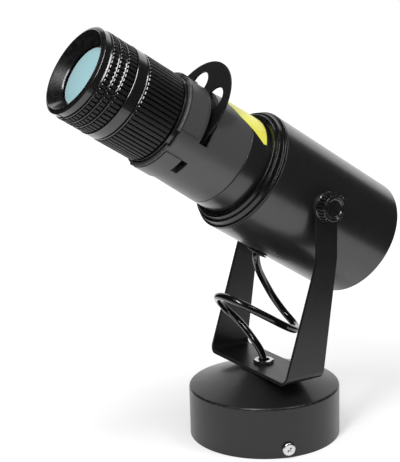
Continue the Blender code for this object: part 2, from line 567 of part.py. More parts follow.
def make_barrel(head):
    """Projection barrel: spigot, tapered tube, wheel slot, and a collar with four bayonet pads."""
    spigot_r = NECK_BORE - GAP
    spigot_s = BARREL_REAR - BARREL_SPIGOT
    ledge = GATE_S - GAP
    profile = [(BARREL_BORE, spigot_s), (spigot_r, spigot_s), (spigot_r, BARREL_REAR), (NECK_R, BARREL_REAR),
               (BARREL_TIP_R, PAD_REAR), (BARREL_TIP_R, BARREL_FRONT - BARREL_EDGE),
               (BARREL_TIP_R - BARREL_EDGE, BARREL_FRONT), (COLLAR_BORE, BARREL_FRONT), (COLLAR_BORE, ledge),
               (BARREL_BORE, ledge)]
    barrel = add("barrel", turned(profile), GREY, head)
    outside, inside = NECK_R + OVERCUT, COLLAR_BORE - OVERCUT
    starts = [PAD_START + i * 2 * pi / PAD_COUNT for i in range(PAD_COUNT)]
    pads = [sector(BARREL_TIP_R + PAD_RISE, BARREL_TIP_R - LAP, start, PAD_SPAN, PAD_REAR,
                   PAD_REAR + PAD_LENGTH, 5) for start in starts]
    boolean(barrel, add("barrel_pads", merged(*pads), None, head), "UNION")
    cuts = [sector(outside, inside, -SLOT_HALF_ANGLE, 2 * SLOT_HALF_ANGLE, SLOT_REAR, SLOT_FRONT, 16)]
    for i in WINDOW_PADS:
        cuts.append(sector(outside, inside, starts[i], WINDOW_SPAN, PAD_REAR - WINDOW_W,
                           PAD_REAR + WINDOW_RUN_IN, 2))
    for start in starts:
        cuts.append(sector(outside, inside, start + PAD_SPAN + NOTCH_OFFSET, NOTCH_SPAN,
                           BARREL_FRONT - NOTCH_DEPTH, BARREL_FRONT + OVERCUT, 2))
    boolean(barrel, add("barrel_cuts", merged(*cuts), None, head))

    plate = ring(COLLAR_BORE - GAP, GATE_APERTURE, GATE_S, GATE_S + GATE_THICK)
    gate = add("gate_plate", plate, ALUMINIUM, head)
    hole = moved(rod(RIVET_R + GAP, GATE_S - OVERCUT, GATE_S + GATE_THICK + OVERCUT, SMALL), (0, WHEEL_UP, 0))
    boolean(gate, add("gate_rivet_hole", hole, None, head))

    back = WHEEL_S - WHEEL_THICK / 2 - GAP
    front = WHEEL_S + WHEEL_THICK / 2 + GAP
    shoulder = GATE_S + GATE_THICK + GAP
    rivet = [(0, GATE_S - OVERCUT), (RIVET_R, GATE_S - OVERCUT), (RIVET_R, shoulder), (RIVET_HEAD, shoulder),
             (RIVET_HEAD, back), (RIVET_R, back), (RIVET_R, front), (RIVET_HEAD, front),
             (0.7 * RIVET_HEAD, front + RIVET_CROWN), (0, front + RIVET_CROWN)]
    add("wheel_rivet", turned(rivet, SMALL), STEEL, head, (0, WHEEL_UP, 0))

    axle = empty("wheel_axis", (0, WHEEL_UP, WHEEL_S), (0, 0, WHEEL_TURN), head)
    wheel = add("gobo_wheel", rod(WHEEL_R, -WHEEL_THICK / 2, WHEEL_THICK / 2, FINE), BLACK, axle)
    holes = [rod(RIVET_R + GAP, -WHEEL_THICK, WHEEL_THICK, SMALL)]
    for i in range(WHEEL_HOLES):
        angle = i * 2 * pi / WHEEL_HOLES
        centre = (WHEEL_UP * cos(angle), WHEEL_UP * sin(angle), 0)
        holes.append(moved(rod(WHEEL_HOLE, -WHEEL_THICK, WHEEL_THICK, 16), centre))
    boolean(wheel, add("wheel_holes", merged(*holes), None, axle))


def make_lens(head):
    """Fixed guide sleeve, zoom ring and carriage, focus ring and cell, with their glasses."""
    collar = COLLAR_BORE - GAP
    profile = [(SLEEVE_BORE, SLEEVE_REAR), (collar, SLEEVE_REAR), (collar, SLEEVE_STEP),
               (SLEEVE_R, SLEEVE_STEP), (SLEEVE_R, SLEEVE_FRONT), (SLEEVE_BORE, SLEEVE_FRONT)]
    add("guide_sleeve", turned(profile, COARSE), BLACK, head)

    zoom_axis = empty("zoom_axis", (0, 0, ZOOM_REAR), parent=head)
    bore = SLEEVE_R + GAP
    root = ZOOM_R - RIB_DEPTH
    grip = [(0, bore, None), (0, ZOOM_R, root), (ZOOM_LENGTH, ZOOM_R, root), (ZOOM_LENGTH, bore, None)]
    add("zoom_ring", ribbed(ZOOM_RIBS, grip), BLACK, zoom_axis)

    tube_bore = TUBE_R - TUBE_WALL
    carriage = ring(TUBE_R, tube_bore, CARRIAGE_REAR, CARRIAGE_REAR + CARRIAGE_LENGTH)
    add("zoom_carriage", carriage, ALUMINIUM, head)
    low = CARRIAGE_REAR + (CARRIAGE_LENGTH - REAR_LENS_EDGE) / 2
    glass = lens(tube_bore - GAP, low, low + REAR_LENS_EDGE, REAR_LENS_DOME, REAR_LENS_DOME)
    add("rear_lens", glass, GLASS, head)

    lens_r = tube_bore + LENS_SEAT_STEP
    seat = CELL_FRONT - LENS_SEAT
    rear = CELL_FRONT - CELL_LENGTH
    cell = [(tube_bore, rear), (TUBE_R, rear), (TUBE_R, CELL_FRONT), (lens_r + GAP, CELL_FRONT),
            (lens_r + GAP, seat), (tube_bore, seat)]
    add("lens_cell", turned(cell, COARSE), BLACK, head)
    low = seat + GAP
    add("front_lens", lens(lens_r, low, low + FRONT_LENS_EDGE, 0, FRONT_LENS_DOME), GLASS, head)

    hood_r = FOCUS_RIM_R - HOOD_WALL
    rim = FOCUS_REAR + FOCUS_LENGTH
    plate = CELL_FRONT + GAP
    edge = hood_r - HOOD_LIP
    hood = [(GLASS_SEEN_R, plate), (hood_r, plate), (hood_r, rim - HOOD_LIP), (edge, rim - HOOD_LIP)]
    for i in range(HOOD_STEPS + 1):
        share = i / HOOD_STEPS
        radius = edge * (1 - share) + GLASS_SEEN_R * share
        height = rim - 2 * HOOD_STEP_H - (HOOD_DEPTH - 2 * HOOD_STEP_H) * share
        if i:
            hood.append((radius, hood[-1][1]))
        if i < HOOD_STEPS:
            hood.append((radius, height - HOOD_STEP_H))
    add("hood_cone", turned(hood, 30), BLACK, head)
    make_focus_ring(head, hood_r + GAP)


def lens(radius, low, high, bulge_low, bulge_high, rim=0.0):
    """Lens with flat or domed faces; low and high are its edge's stations, rim a flat border round a dome."""
    profile = []
    dome = radius - rim
    for edge, bulge, way in ((low, bulge_low, -1), (high, bulge_high, 1)):
        face = [(0, edge + way * bulge)]
        if bulge:
            curve = (dome ** 2 + bulge ** 2) / (2 * bulge)
            sweep = asin(dome / curve)
            for i in range(1, 4):
                angle = sweep * i / 3
                face.append((curve * sin(angle), edge + way * (bulge - curve * (1 - cos(angle)))))
        if rim or not bulge:
            face.append((radius, edge))
        profile += face if way < 0 else face[::-1]
    return turned(profile, COARSE)


def make_focus_ring(head, hood_bore):
    """Front ring with a smooth band, three rows of ribs and a plain rim; heights from the ring's rear."""
    root = FOCUS_RIB_R - RIB_DEPTH
    first, last = FOCUS_ROWS[0][0], FOCUS_ROWS[-1][1]
    stations = [(0, SLEEVE_BORE, None), (0, FOCUS_BAND_R - FOCUS_EDGE, None),
                (FOCUS_EDGE, FOCUS_BAND_R, None), (first, FOCUS_BAND_R, None)]
    for rear, front in FOCUS_ROWS:
        if rear > first:
            stations.append((rear, root, None))
        stations += [(rear, FOCUS_RIB_R, root), (front, FOCUS_RIB_R, root)]
        if front < last:
            stations.append((front, root, None))
    seat = CELL_FRONT - FOCUS_REAR
    stations += [(last, FOCUS_RIM_R, None), (FOCUS_LENGTH - 2 * FOCUS_EDGE, FOCUS_RIM_R, None),
                 (FOCUS_LENGTH, FOCUS_RIM_R - 2 * FOCUS_EDGE, None), (FOCUS_LENGTH, hood_bore, None),
                 (seat, hood_bore, None), (seat, SLEEVE_BORE, None)]
    focus_axis = empty("focus_axis", (0, 0, FOCUS_REAR), parent=head)
    add("focus_ring", ribbed(FOCUS_RIBS, stations), BLACK, focus_axis)


def make_source(head):
    """Heat sink, lamp board, reflector and condenser lens."""
    sink = add("heat_sink", rod(SPIGOT_R, SINK_FRONT - SINK_BASE, SINK_FRONT, FINE), ALUMINIUM, head)
    fins = []
    for i in range(FIN_COUNT):
        x = (i - (FIN_COUNT - 1) / 2) * FIN_PITCH
        tall = sqrt(SPIGOT_R ** 2 - (abs(x) + FIN_THICK / 2) ** 2)
        fins.append(box(x - FIN_THICK / 2, x + FIN_THICK / 2, -tall, tall, SINK_REAR, SINK_FRONT - LAP))
    boolean(sink, add("sink_fins", merged(*fins), None, head), "UNION")
    outer = sqrt(SPIGOT_R ** 2 - BOSS_R ** 2)
    inner = (FIN_COUNT - 1) / 2 * FIN_PITCH
    bore_end = SPIGOT_R - STUD_DEPTH - GAP
    bores = []
    for label, side in (("right", 1), ("left", -1)):
        boss = moved(rod(BOSS_R, inner, outer, 16), turn=side * pi / 2, axis="Y")
        boolean(sink, add(f"sink_boss_{label}", boss, None, head), "UNION")
        bores.append(moved(rod(STUD_R + GAP, bore_end, outer + OVERCUT, SMALL), turn=side * pi / 2, axis="Y"))
    bores.append(box(-SPIGOT_R, SPIGOT_R, -SPIGOT_R - OVERCUT, -SINK_FLAT, SINK_REAR - OVERCUT,
                     SINK_FRONT + OVERCUT))
    boolean(sink, add("sink_cuts", merged(*bores), None, head))

    low = SINK_FRONT + GAP
    top = low + BOARD_THICK
    board = add("lamp_board", rod(BOARD_R, low, top), WHITE, head)
    drill = [moved(rod(BOARD_HOLE, low - OVERCUT, top + OVERCUT, 8), (0, side * BOARD_SCREW_AT, 0))
             for side in (1, -1)]
    boolean(board, add("board_holes", merged(*drill), None, head))
    chip_top = top + GAP + CHIP_H
    add("lamp_chip", rod(CHIP_R, top + GAP, chip_top, 16), PHOSPHOR, head)
    head_low = top + GAP
    for number, side in enumerate((1, -1), 1):
        screw = [(0, low + GAP), (BOARD_SCREW_R, low + GAP), (BOARD_SCREW_R, head_low),
                 (BOARD_HEAD_R, head_low), (BOARD_HEAD_R - EDGE, head_low + BOARD_HEAD_H),
                 (0, head_low + BOARD_HEAD_H)]
        add(f"board_screw_{number}", turned(screw, 8), STEEL, head, (0, side * BOARD_SCREW_AT, 0))

    rear = head_low + BOARD_HEAD_H + GAP
    lens_r = NECK_BORE - 2 * GAP
    lens_s = BARREL_REAR - BARREL_SPIGOT - GAP - CONDENSER_EDGE
    front = lens_s - GAP
    throat = CHIP_R + EDGE
    flange = NECK_BORE - GAP
    mouth = flange - REFLECTOR_BRIM
    brim = front - REFLECTOR_BRIM_H
    cup = [(throat, rear), (throat + REFLECTOR_WALL, rear), (mouth + REFLECTOR_WALL, brim), (flange, brim),
           (flange, front), (mouth, front)]
    add("reflector", turned(cup, COARSE), ALUMINIUM, head)
    condenser = lens(lens_r, lens_s, lens_s + CONDENSER_EDGE, 0, CONDENSER_DOME, CONDENSER_BORDER)
    add("condenser_lens", condenser, GLASS, head)


def make_cooling(head):
    """Vented rear cover, fan and driver box."""
    cover_rear = HOUSING_REAR + COVER_INSET
    cover_front = cover_rear + COVER_THICK
    skirt_front = cover_rear + COVER_SKIRT
    skirt_r = SPIGOT_R - COVER_SKIRT_WALL
    profile = [(0, cover_rear), (SPIGOT_R - EDGE, cover_rear), (SPIGOT_R, cover_rear + EDGE),
               (SPIGOT_R, skirt_front), (skirt_r, skirt_front), (skirt_r, cover_front), (0, cover_front)]
    cover = add("rear_cover", turned(profile, 28), BLACK, head)
    through = (cover_rear - OVERCUT, cover_front + OVERCUT)
    vents = []
    for radius, count in VENT_ROWS:
        pitch = 2 * pi / count
        for i in range(count):
            vents.append(sector(radius + VENT_WIDTH / 2, radius - VENT_WIDTH / 2,
                                (i + (1 - VENT_SHARE) / 2) * pitch, VENT_SHARE * pitch, *through, 1))
    places = [(x * FAN_SCREW_AT, y * FAN_SCREW_AT) for x in (-1, 1) for y in (-1, 1)]
    drill = [moved(rod(COVER_HOLE, *through, 8), (x, y, 0)) for x, y in places]
    boolean(cover, add("cover_vents", merged(*(vents + drill)), None, head))

    fan_rear = cover_front + GAP
    fan_front = fan_rear + FAN_DEPTH
    back = fan_rear + FAN_BACK
    frame = add("fan_frame", box(-FAN_HALF, FAN_HALF, -FAN_HALF, FAN_HALF, fan_rear, fan_front), BLACK, head)
    tunnel = rod(FAN_BORE, fan_rear - OVERCUT, fan_front + OVERCUT, COARSE)
    boolean(frame, add("fan_tunnel", tunnel, None, head))
    seat_r = ROTOR_HUB - FAN_BACK
    struts = [moved(box(-FAN_STRUT / 2, FAN_STRUT / 2, seat_r - FAN_BACK, FAN_BORE + LAP, fan_rear, back),
                    turn=i * 2 * pi / FAN_STRUTS) for i in range(FAN_STRUTS)]
    boolean(frame, add("fan_struts", merged(*struts), None, head), "UNION")
    boolean(frame, add("fan_hub_seat", rod(seat_r, fan_rear, back, 16), None, head), "UNION")
    drill = [moved(rod(FAN_PILOT, fan_rear - OVERCUT, fan_rear + FAN_PILOT_L, 8), (x, y, 0))
             for x, y in places]
    drill.append(rod(ROTOR_PIN_R + GAP, back - ROTOR_PIN_L - GAP, back + OVERCUT, 8))
    boolean(frame, add("fan_drill", merged(*drill), None, head))
    under = cover_rear - GAP
    for number, (x, y) in enumerate(places, 1):
        tip = fan_rear + FAN_SCREW_L
        screw = [(0, under - FAN_HEAD_H), (FAN_HEAD_R, under - FAN_HEAD_H), (FAN_HEAD_R, under),
                 (FAN_SCREW_R, under), (FAN_SCREW_R, tip), (0, tip)]
        add(f"fan_screw_{number}", turned(screw, 8), STEEL, head, (x, y, 0))

    spin = empty("fan_axis", (0, 0, back + GAP), parent=head)
    tall = FAN_DEPTH - FAN_BACK - 2 * GAP - OVERCUT
    hub = [(0, -ROTOR_PIN_L), (ROTOR_PIN_R, -ROTOR_PIN_L), (ROTOR_PIN_R, 0), (ROTOR_HUB, 0),
           (ROTOR_HUB, tall - EDGE), (ROTOR_HUB - EDGE, tall), (0, tall)]
    rotor = add("fan_rotor", turned(hub, 16), BLACK, spin)
    blades = []
    for i in range(BLADES):
        blade = box(ROTOR_HUB - LAP, ROTOR_R, -BLADE_THICK / 2, BLADE_THICK / 2, -0.42 * tall, 0.42 * tall)
        moved(blade, turn=BLADE_LEAN, axis="X")
        moved(blade, (0, 0, tall / 2))
        blades.append(moved(blade, turn=i * 2 * pi / BLADES))
    boolean(rotor, add("rotor_blades", merged(*blades), None, spin), "UNION")

    front = SINK_REAR - GAP
    low_y = -sqrt(SPIGOT_R ** 2 - (DRIVER_WIDTH / 2) ** 2)
    case = box(-DRIVER_WIDTH / 2, DRIVER_WIDTH / 2, low_y, low_y + DRIVER_HEIGHT, fan_front + DRIVER_ROOM,
               front, EDGE)
    add("driver_case", case, WHITE, head)


def smooth_route(points, step):
    """Evenly spaced points on a smooth curve through the given ones."""
    knots = [Vector(p) for p in points]
    knots = [2 * knots[0] - knots[1]] + knots + [2 * knots[-1] - knots[-2]]
    dense = []
    for a, b, c, d in zip(knots, knots[1:], knots[2:], knots[3:]):
        for i in range(24):
            t = i / 24
            dense.append(0.5 * (2 * b + (c - a) * t + (2 * a - 5 * b + 4 * c - d) * t * t
                                + (3 * b - a - 3 * c + d) * t ** 3))
    dense.append(knots[-2])
    total = sum((q - p).length for p, q in zip(dense, dense[1:]))
    count = round(total / step)
    route = [dense[0]]
    run = 0.0
    for p, q in zip(dense, dense[1:]):
        run += (q - p).length
        if run >= len(route) * total / count and len(route) < count:
            route.append(q)
    return route + [dense[-1]]


# The cord's route, in millimetres: up through the hollow bolt, once round in the yoke, into the head
CORD_ROUTE = [(0, 0, 14.6), (0, 0, 28), (0, 0, 40), (0, 0, 47), (-1.7, -0.8, 54.4), (-6.8, -3, 61.6),
              (-14.4, -4.4, 67.6), (-21.2, -7, 73.4), (-25, -12.2, 79.8), (-23.8, -18.2, 86.2),
              (-18.9, -23.2, 91.1), (-12.3, -26.7, 94.4), (-4.2, -27.3, 96), (4.7, -24.4, 94.5),
              (13.2, -17.4, 90), (18.8, -7.9, 83.8), (20.6, 2.6, 77.2), (18.3, 11.8, 72.4),
              (12.2, 18.2, 70.6), (4.2, 21.5, 71.8), (-4.4, 20, 77.7), (-10.2, 15.6, 87.2), (-11.4, 9.8, 98),
              (-9.2, 4.5, 106), (-6.8, 1.1, 111.4), (-5.1, -1, 116), (-4.3, -1.7, 119.8), (-3.95, -1.1, 123),
              (-3.7, -0.3, 126.6)]


def make_cord(pan):
    points = smooth_route([Vector(p) * MM for p in CORD_ROUTE], CORD_STEP)
    curve = bpy.data.curves.new("power_cord", "CURVE")
    curve.dimensions = "3D"
    curve.bevel_depth = CORD_R
    curve.bevel_resolution = 2
    curve.use_fill_caps = True
    spline = curve.splines.new("POLY")
    spline.points.add(len(points) - 1)
    for point, place in zip(spline.points, points):
        point.co = (*place, 1)
    cord = bpy.data.objects.new("power_cord", curve)
    bpy.context.scene.collection.objects.link(cord)
    cord.parent = pan
    curve.materials.append(finish("power_cord", RUBBER))
    tightest = 1.0
    for a, b, c in zip(points, points[1:], points[2:]):
        turn = (b - a).angle(c - b)
        tightest = min(tightest, (c - a).length / 2 / max(sin(turn), 1e-6))
    length = sum((q - p).length for p, q in zip(points, points[1:]))
    print(f"cord length {length / MM:.0f} mm, tightest bend {tightest / MM:.1f} mm, {len(points)} points")


make_canopy()
make_bolt()
pan_frame = empty("pan_frame", (0, 0, 0))
make_yoke(pan_frame)
make_cord(pan_frame)
head_frame = empty("head_frame", (0, PIVOT_Y, PIVOT_Z), (pi / 2 - TILT, 0, 0), pan_frame)
make_housing(head_frame)
make_barrel(head_frame)
make_lens(head_frame)
make_source(head_frame)
make_cooling(head_frame)
make_knob(1, "right", head_frame)
make_knob(-1, "left", head_frame)
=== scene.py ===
"""Looks of the pinspot light: smooth pieces, finishes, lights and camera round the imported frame."""
from math import atan2, cos, hypot, pi, radians, sin, sqrt

import bmesh
import bpy
from mathutils import Matrix, Vector


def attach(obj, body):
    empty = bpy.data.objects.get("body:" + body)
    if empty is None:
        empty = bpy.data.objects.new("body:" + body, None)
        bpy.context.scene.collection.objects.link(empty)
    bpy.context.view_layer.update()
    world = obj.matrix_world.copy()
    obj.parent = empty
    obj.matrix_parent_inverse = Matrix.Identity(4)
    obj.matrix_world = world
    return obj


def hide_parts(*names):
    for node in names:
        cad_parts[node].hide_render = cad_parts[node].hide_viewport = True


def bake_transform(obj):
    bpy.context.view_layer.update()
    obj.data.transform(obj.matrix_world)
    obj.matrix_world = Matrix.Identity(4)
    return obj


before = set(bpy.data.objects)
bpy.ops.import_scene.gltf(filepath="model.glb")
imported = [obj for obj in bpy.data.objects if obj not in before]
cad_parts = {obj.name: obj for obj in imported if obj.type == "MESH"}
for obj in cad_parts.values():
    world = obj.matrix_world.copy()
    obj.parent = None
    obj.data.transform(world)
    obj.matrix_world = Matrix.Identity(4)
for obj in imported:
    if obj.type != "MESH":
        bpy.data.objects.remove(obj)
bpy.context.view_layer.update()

MM = 0.001
PIVOT = (0, 19, 157.4)
TILT = radians(32)
AXIS_S = -1.9
WORLD = Matrix.Identity(4)
# The head's own frame: Z along the beam, Y up across the head, X along the tilt axis, which lies at AXIS_S.
HEAD = (Matrix.Translation(PIVOT) @ Matrix.Rotation(pi / 2 - TILT, 4, "X")
        @ Matrix.Translation((0, 0, -AXIS_S)))
# The cord's way into the head, in the head's frame: Z out of the tube's underside.
INLET = (Matrix.Translation((0, 0, -3.6)) @ Matrix.Rotation(radians(-5.7), 4, "Z")
         @ Matrix.Rotation(pi / 2, 4, "X"))

# Distances in millimetres under which two vertices are one: in a turned shape, in a ring of ribs, after a cut
WELD, RIB_WELD, CUT_WELD = 0.002, 0.003, 0.004
NEAR = 0.01


# Shapes, in millimetres


def turned(profile, steps, closed=True):
    """Profile of (radius, height) or (radius, height, rounding) corners, spun round local Z."""
    bm = bmesh.new()
    corners = [bm.verts.new((c[0], 0, c[1])) for c in profile]
    for pair in zip(corners, corners[1:] + (corners[:1] if closed else [])):
        bm.edges.new(pair)
    for corner, spot in zip(corners, profile):
        if len(spot) > 2:
            bmesh.ops.bevel(bm, geom=[corner], offset=spot[2], offset_type="OFFSET", segments=4, profile=0.5,
                            affect="VERTICES", clamp_overlap=False, material=-1)
    bmesh.ops.spin(bm, geom=bm.verts[:] + bm.edges[:], axis=(0, 0, 1), cent=(0, 0, 0), angle=2 * pi,
                   steps=steps, use_merge=True)
    bmesh.ops.remove_doubles(bm, verts=bm.verts, dist=WELD)
    return bm


def prism(outline, low, high):
    """Solid with the outline in local XY between two heights."""
    bm = bmesh.new()
    face = bm.faces.new([bm.verts.new((x, y, low)) for x, y in outline])
    top = bmesh.ops.extrude_face_region(bm, geom=[face])
    raised = [g for g in top["geom"] if isinstance(g, bmesh.types.BMVert)]
    bmesh.ops.translate(bm, verts=raised, vec=(0, 0, high - low))
    bmesh.ops.recalc_face_normals(bm, faces=bm.faces)
    return bm


def arc(cx, cy, radius, start, end, steps):
    """Points of an arc in local XY."""
    return [(cx + radius * cos(start + (end - start) * i / steps),
             cy + radius * sin(start + (end - start) * i / steps)) for i in range(steps + 1)]


def rod(radius, low, high, steps=48):
    """Round bar along local Z."""
    return turned([(0, low), (radius, low), (radius, high), (0, high)], steps, closed=False)


def box(x, y, z):
    """Box from three (low, high) pairs."""
    bm = bmesh.new()
    bmesh.ops.create_cube(bm, size=1)
    bmesh.ops.scale(bm, vec=(x[1] - x[0], y[1] - y[0], z[1] - z[0]), verts=bm.verts)
    bmesh.ops.translate(bm, vec=((x[0] + x[1]) / 2, (y[0] + y[1]) / 2, (z[0] + z[1]) / 2), verts=bm.verts)
    return bm


def hexagon(across, low, high):
    """Hexagonal bar along local Z, sized across its flats."""
    return prism(arc(0, 0, across / sqrt(3), 0, 2 * pi, 6)[:-1], low, high)


def sector(outer, inner, start, span, low, high, steps, corner=0.0):
    """Curved block, with rounded corners if wanted; its angles run from local +Y towards +X."""
    bm = bmesh.new()
    corners = [bm.verts.new((r * sin(start), r * cos(start), z))
               for r, z in ((outer, low), (outer, high), (inner, high), (inner, low))]
    edges = [bm.edges.new(pair) for pair in zip(corners, corners[1:] + corners[:1])]
    bmesh.ops.spin(bm, geom=corners + edges, axis=(0, 0, -1), cent=(0, 0, 0), angle=span, steps=steps)
    bmesh.ops.holes_fill(bm, edges=[e for e in bm.edges if e.is_boundary], sides=4)
    bmesh.ops.recalc_face_normals(bm, faces=bm.faces)
    if corner:
        radial = [e for e in bm.edges if e.calc_face_angle(0) > 1.4
                  and abs(hypot(*e.verts[0].co.xy) - hypot(*e.verts[1].co.xy)) > 0.5]
        bmesh.ops.bevel(bm, geom=radial, offset=corner, offset_type="OFFSET", segments=5, profile=0.5,
                        affect="EDGES", clamp_overlap=True, material=-1)
    return bm


def placed(bm, where):
    """The bmesh after a matrix has moved it."""
    bmesh.ops.transform(bm, matrix=where, verts=bm.verts)
    return bm


def moved(bm, location=(0, 0, 0), turn=0.0, axis="Z"):
    """The bmesh turned about an axis, then shifted."""
    return placed(bm, Matrix.Translation(location) @ Matrix.Rotation(turn, 4, axis))


def joined(*parts):
    """Several bmeshes that don't touch, in one."""
    whole = bmesh.new()
    for part in parts:
        mesh = bpy.data.meshes.new("part")
        part.to_mesh(mesh)
        part.free()
        whole.from_mesh(mesh)
        bpy.data.meshes.remove(mesh)
    return whole


def combined(bm, other, operation="DIFFERENCE"):
    """Boolean of two closed bmeshes that share a frame."""
    solids = []
    for part in (bm, other):
        bmesh.ops.recalc_face_normals(part, faces=part.faces)
        mesh = bpy.data.meshes.new("solid")
        part.to_mesh(mesh)
        part.free()
        solid = bpy.data.objects.new("solid", mesh)
        bpy.context.scene.collection.objects.link(solid)
        solids.append(solid)
    step = solids[0].modifiers.new("cut", "BOOLEAN")
    step.operation = operation
    step.object = solids[1]
    step.solver = "EXACT"
    result = bmesh.new()
    result.from_object(solids[0], bpy.context.evaluated_depsgraph_get())
    for solid in solids:
        mesh = solid.data
        bpy.data.objects.remove(solid)
        bpy.data.meshes.remove(mesh)
    bmesh.ops.remove_doubles(result, verts=result.verts, dist=CUT_WELD)
    bmesh.ops.dissolve_limit(result, angle_limit=radians(0.3), verts=result.verts, edges=result.edges)
    return result


def eased(bm, width, segments=2, angle=30):
    """Rounds every edge that is sharper than the angle."""
    sharp = [e for e in bm.edges if e.is_manifold and e.calc_face_angle(0) > radians(angle)]
    bmesh.ops.bevel(bm, geom=sharp, offset=width, offset_type="OFFSET", segments=segments, profile=0.5,
                    affect="EDGES", clamp_overlap=True, material=-1)
    return bm


def ribbed(profile, bands, ribs, rise, crest, rounding, slope=0.0):
    """Ring with raised ribs: one pitch is spun, its crests are pulled out, and it is repeated round the axis.

    profile is the plain ring, with a corner at both ends of each band; bands are (low, high) heights.
    crest is a rib's share of the pitch, slope the height of the sloping facet at its ends.
    The tops of the ribs take the second finish.
    """
    bm = bmesh.new()
    corners = [bm.verts.new((r, 0, z)) for r, z in profile]
    run = corners + [bm.edges.new(pair) for pair in zip(corners, corners[1:] + corners[:1])]
    pitch = 2 * pi / ribs
    for share in ((1 - crest) / 2, crest, (1 - crest) / 2):
        step = bmesh.ops.spin(bm, geom=run, axis=(0, 0, 1), cent=(0, 0, 0), angle=share * pitch, steps=1)
        run = step["geom_last"]
    outside = max(r for r, z in profile)
    for low, high in bands:
        radius = max(r for r, z in profile if low - NEAR < z < high + NEAR and r > outside - 4)
        if slope:
            for level in (low + slope, high - slope):
                bmesh.ops.bisect_plane(bm, geom=bm.verts[:] + bm.edges[:] + bm.faces[:],
                                       plane_co=(0, 0, level), plane_no=(0, 0, 1))
        crown = []
        for face in bm.faces:
            c = face.calc_center_median()
            turn = atan2(c.y, c.x) / pitch
            inside = all(low - NEAR < v.co.z < high + NEAR and abs(hypot(v.co.x, v.co.y) - radius) < NEAR
                         for v in face.verts)
            if inside and abs(turn - 0.5) < crest / 2:
                crown.append(face)
        top = bmesh.ops.extrude_face_region(bm, geom=crown)["geom"]
        raised = [g for g in top if isinstance(g, bmesh.types.BMVert)]
        lid = {g for g in top if isinstance(g, bmesh.types.BMFace)}
        for vert in raised:
            end = slope and (vert.co.z < low + NEAR or vert.co.z > high - NEAR)
            grow = (radius + rise - (slope if end else 0)) / radius
            bmesh.ops.scale(bm, vec=(grow, grow, 1), verts=[vert])
        rim = [e for e in bm.edges if len([f for f in e.link_faces if f in lid]) == 1
               and abs(e.verts[0].co.z - e.verts[1].co.z) > NEAR]
        for face in lid:
            c = face.calc_center_median()
            if low + slope - NEAR < c.z < high - slope + NEAR:
                face.material_index = 1
        if rounding:
            bmesh.ops.bevel(bm, geom=rim, offset=rounding, offset_type="OFFSET", segments=2, profile=0.5,
                            affect="EDGES", clamp_overlap=True, material=-1)
    bmesh.ops.spin(bm, geom=bm.verts[:] + bm.edges[:] + bm.faces[:], axis=(0, 0, 1), cent=(0, 0, 0),
                   angle=2 * pi - pitch, steps=ribs - 1, use_duplicate=True)
    bmesh.ops.remove_doubles(bm, verts=bm.verts, dist=RIB_WELD)
    return bm


def mark_edges(mesh, full_turn=radians(20), small_face=1.5e-6):
    """Point attribute edge: 1 in the middle of a rounded corner, where the finish rubs off.

    full_turn is the angle between two faces that counts as 1, and small_face is the largest face of a
    rounding, in square metres.
    """
    bm = bmesh.new()
    bm.from_mesh(mesh)
    turn = bm.verts.layers.float.new("edge")
    for vert in bm.verts:
        sharpest = max((e.calc_face_angle(0) for e in vert.link_edges if e.is_manifold), default=0)
        widest = max((f.calc_area() for f in vert.link_faces), default=1)
        vert[turn] = min(1, sharpest / full_turn) if widest < small_face else 0
    bm.to_mesh(mesh)
    bm.free()


def piece(name, bm, where, body, finish, slot, *nodes, level=True):
    """Turns a bmesh in millimetres into a piece that rides on a body and stands for CAD nodes."""
    bmesh.ops.remove_doubles(bm, verts=bm.verts, dist=WELD)
    bmesh.ops.recalc_face_normals(bm, faces=bm.faces)
    bm.transform(Matrix.Scale(MM, 4) @ where)
    mesh = bpy.data.meshes.new(name)
    bm.to_mesh(mesh)
    bm.free()
    mark_edges(mesh)
    mesh.shade_smooth()
    mesh.set_sharp_from_angle(angle=radians(35))
    thing = bpy.data.objects.new(name, mesh)
    bpy.context.scene.collection.objects.link(thing)
    for each in (finish if isinstance(finish, list) else [finish]):
        mesh.materials.append(each)
    if level:
        weigh = thing.modifiers.new("even_shading", "WEIGHTED_NORMAL")
        weigh.keep_sharp = True
    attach(thing, body)
    if nodes:
        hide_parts(*nodes)
    return thing


# Finishes


def blank(name, colour, roughness, metallic=0.0):
    """New material with its node tree and its shader."""
    material = bpy.data.materials.new(name)
    material.use_nodes = True
    tree = material.node_tree
    shader = tree.nodes["Principled BSDF"]
    shader.inputs["Base Color"].default_value = (*colour, 1)
    shader.inputs["Roughness"].default_value = roughness
    shader.inputs["Metallic"].default_value = metallic
    return material, tree, shader


def noise(tree, scale, detail=3.0, way=None):
    """Noise on the piece's own coordinates; scale is per metre, way scales each axis for streaks."""
    where = tree.nodes.new("ShaderNodeTexCoord").outputs["Object"]
    if way:
        mapping = tree.nodes.new("ShaderNodeMapping")
        mapping.inputs["Scale"].default_value = way
        tree.links.new(where, mapping.inputs["Vector"])
        where = mapping.outputs["Vector"]
    grain = tree.nodes.new("ShaderNodeTexNoise")
    grain.inputs["Scale"].default_value = scale
    grain.inputs["Detail"].default_value = detail
    tree.links.new(where, grain.inputs["Vector"])
    return grain.outputs["Fac"]


def spread(tree, value, low, high, source=(0.3, 0.7)):
    """Maps a value from one span to another."""
    step = tree.nodes.new("ShaderNodeMapRange")
    step.inputs["From Min"].default_value = source[0]
    step.inputs["From Max"].default_value = source[1]
    step.inputs["To Min"].default_value = low
    step.inputs["To Max"].default_value = high
    tree.links.new(value, step.inputs["Value"])
    return step.outputs["Result"]


def times(tree, a, b):
    """Product of a socket and a socket or number."""
    step = tree.nodes.new("ShaderNodeMath")
    step.operation = "MULTIPLY"
    tree.links.new(a, step.inputs[0])
    if isinstance(b, (int, float)):
        step.inputs[1].default_value = b
    else:
        tree.links.new(b, step.inputs[1])
    return step.outputs["Value"]


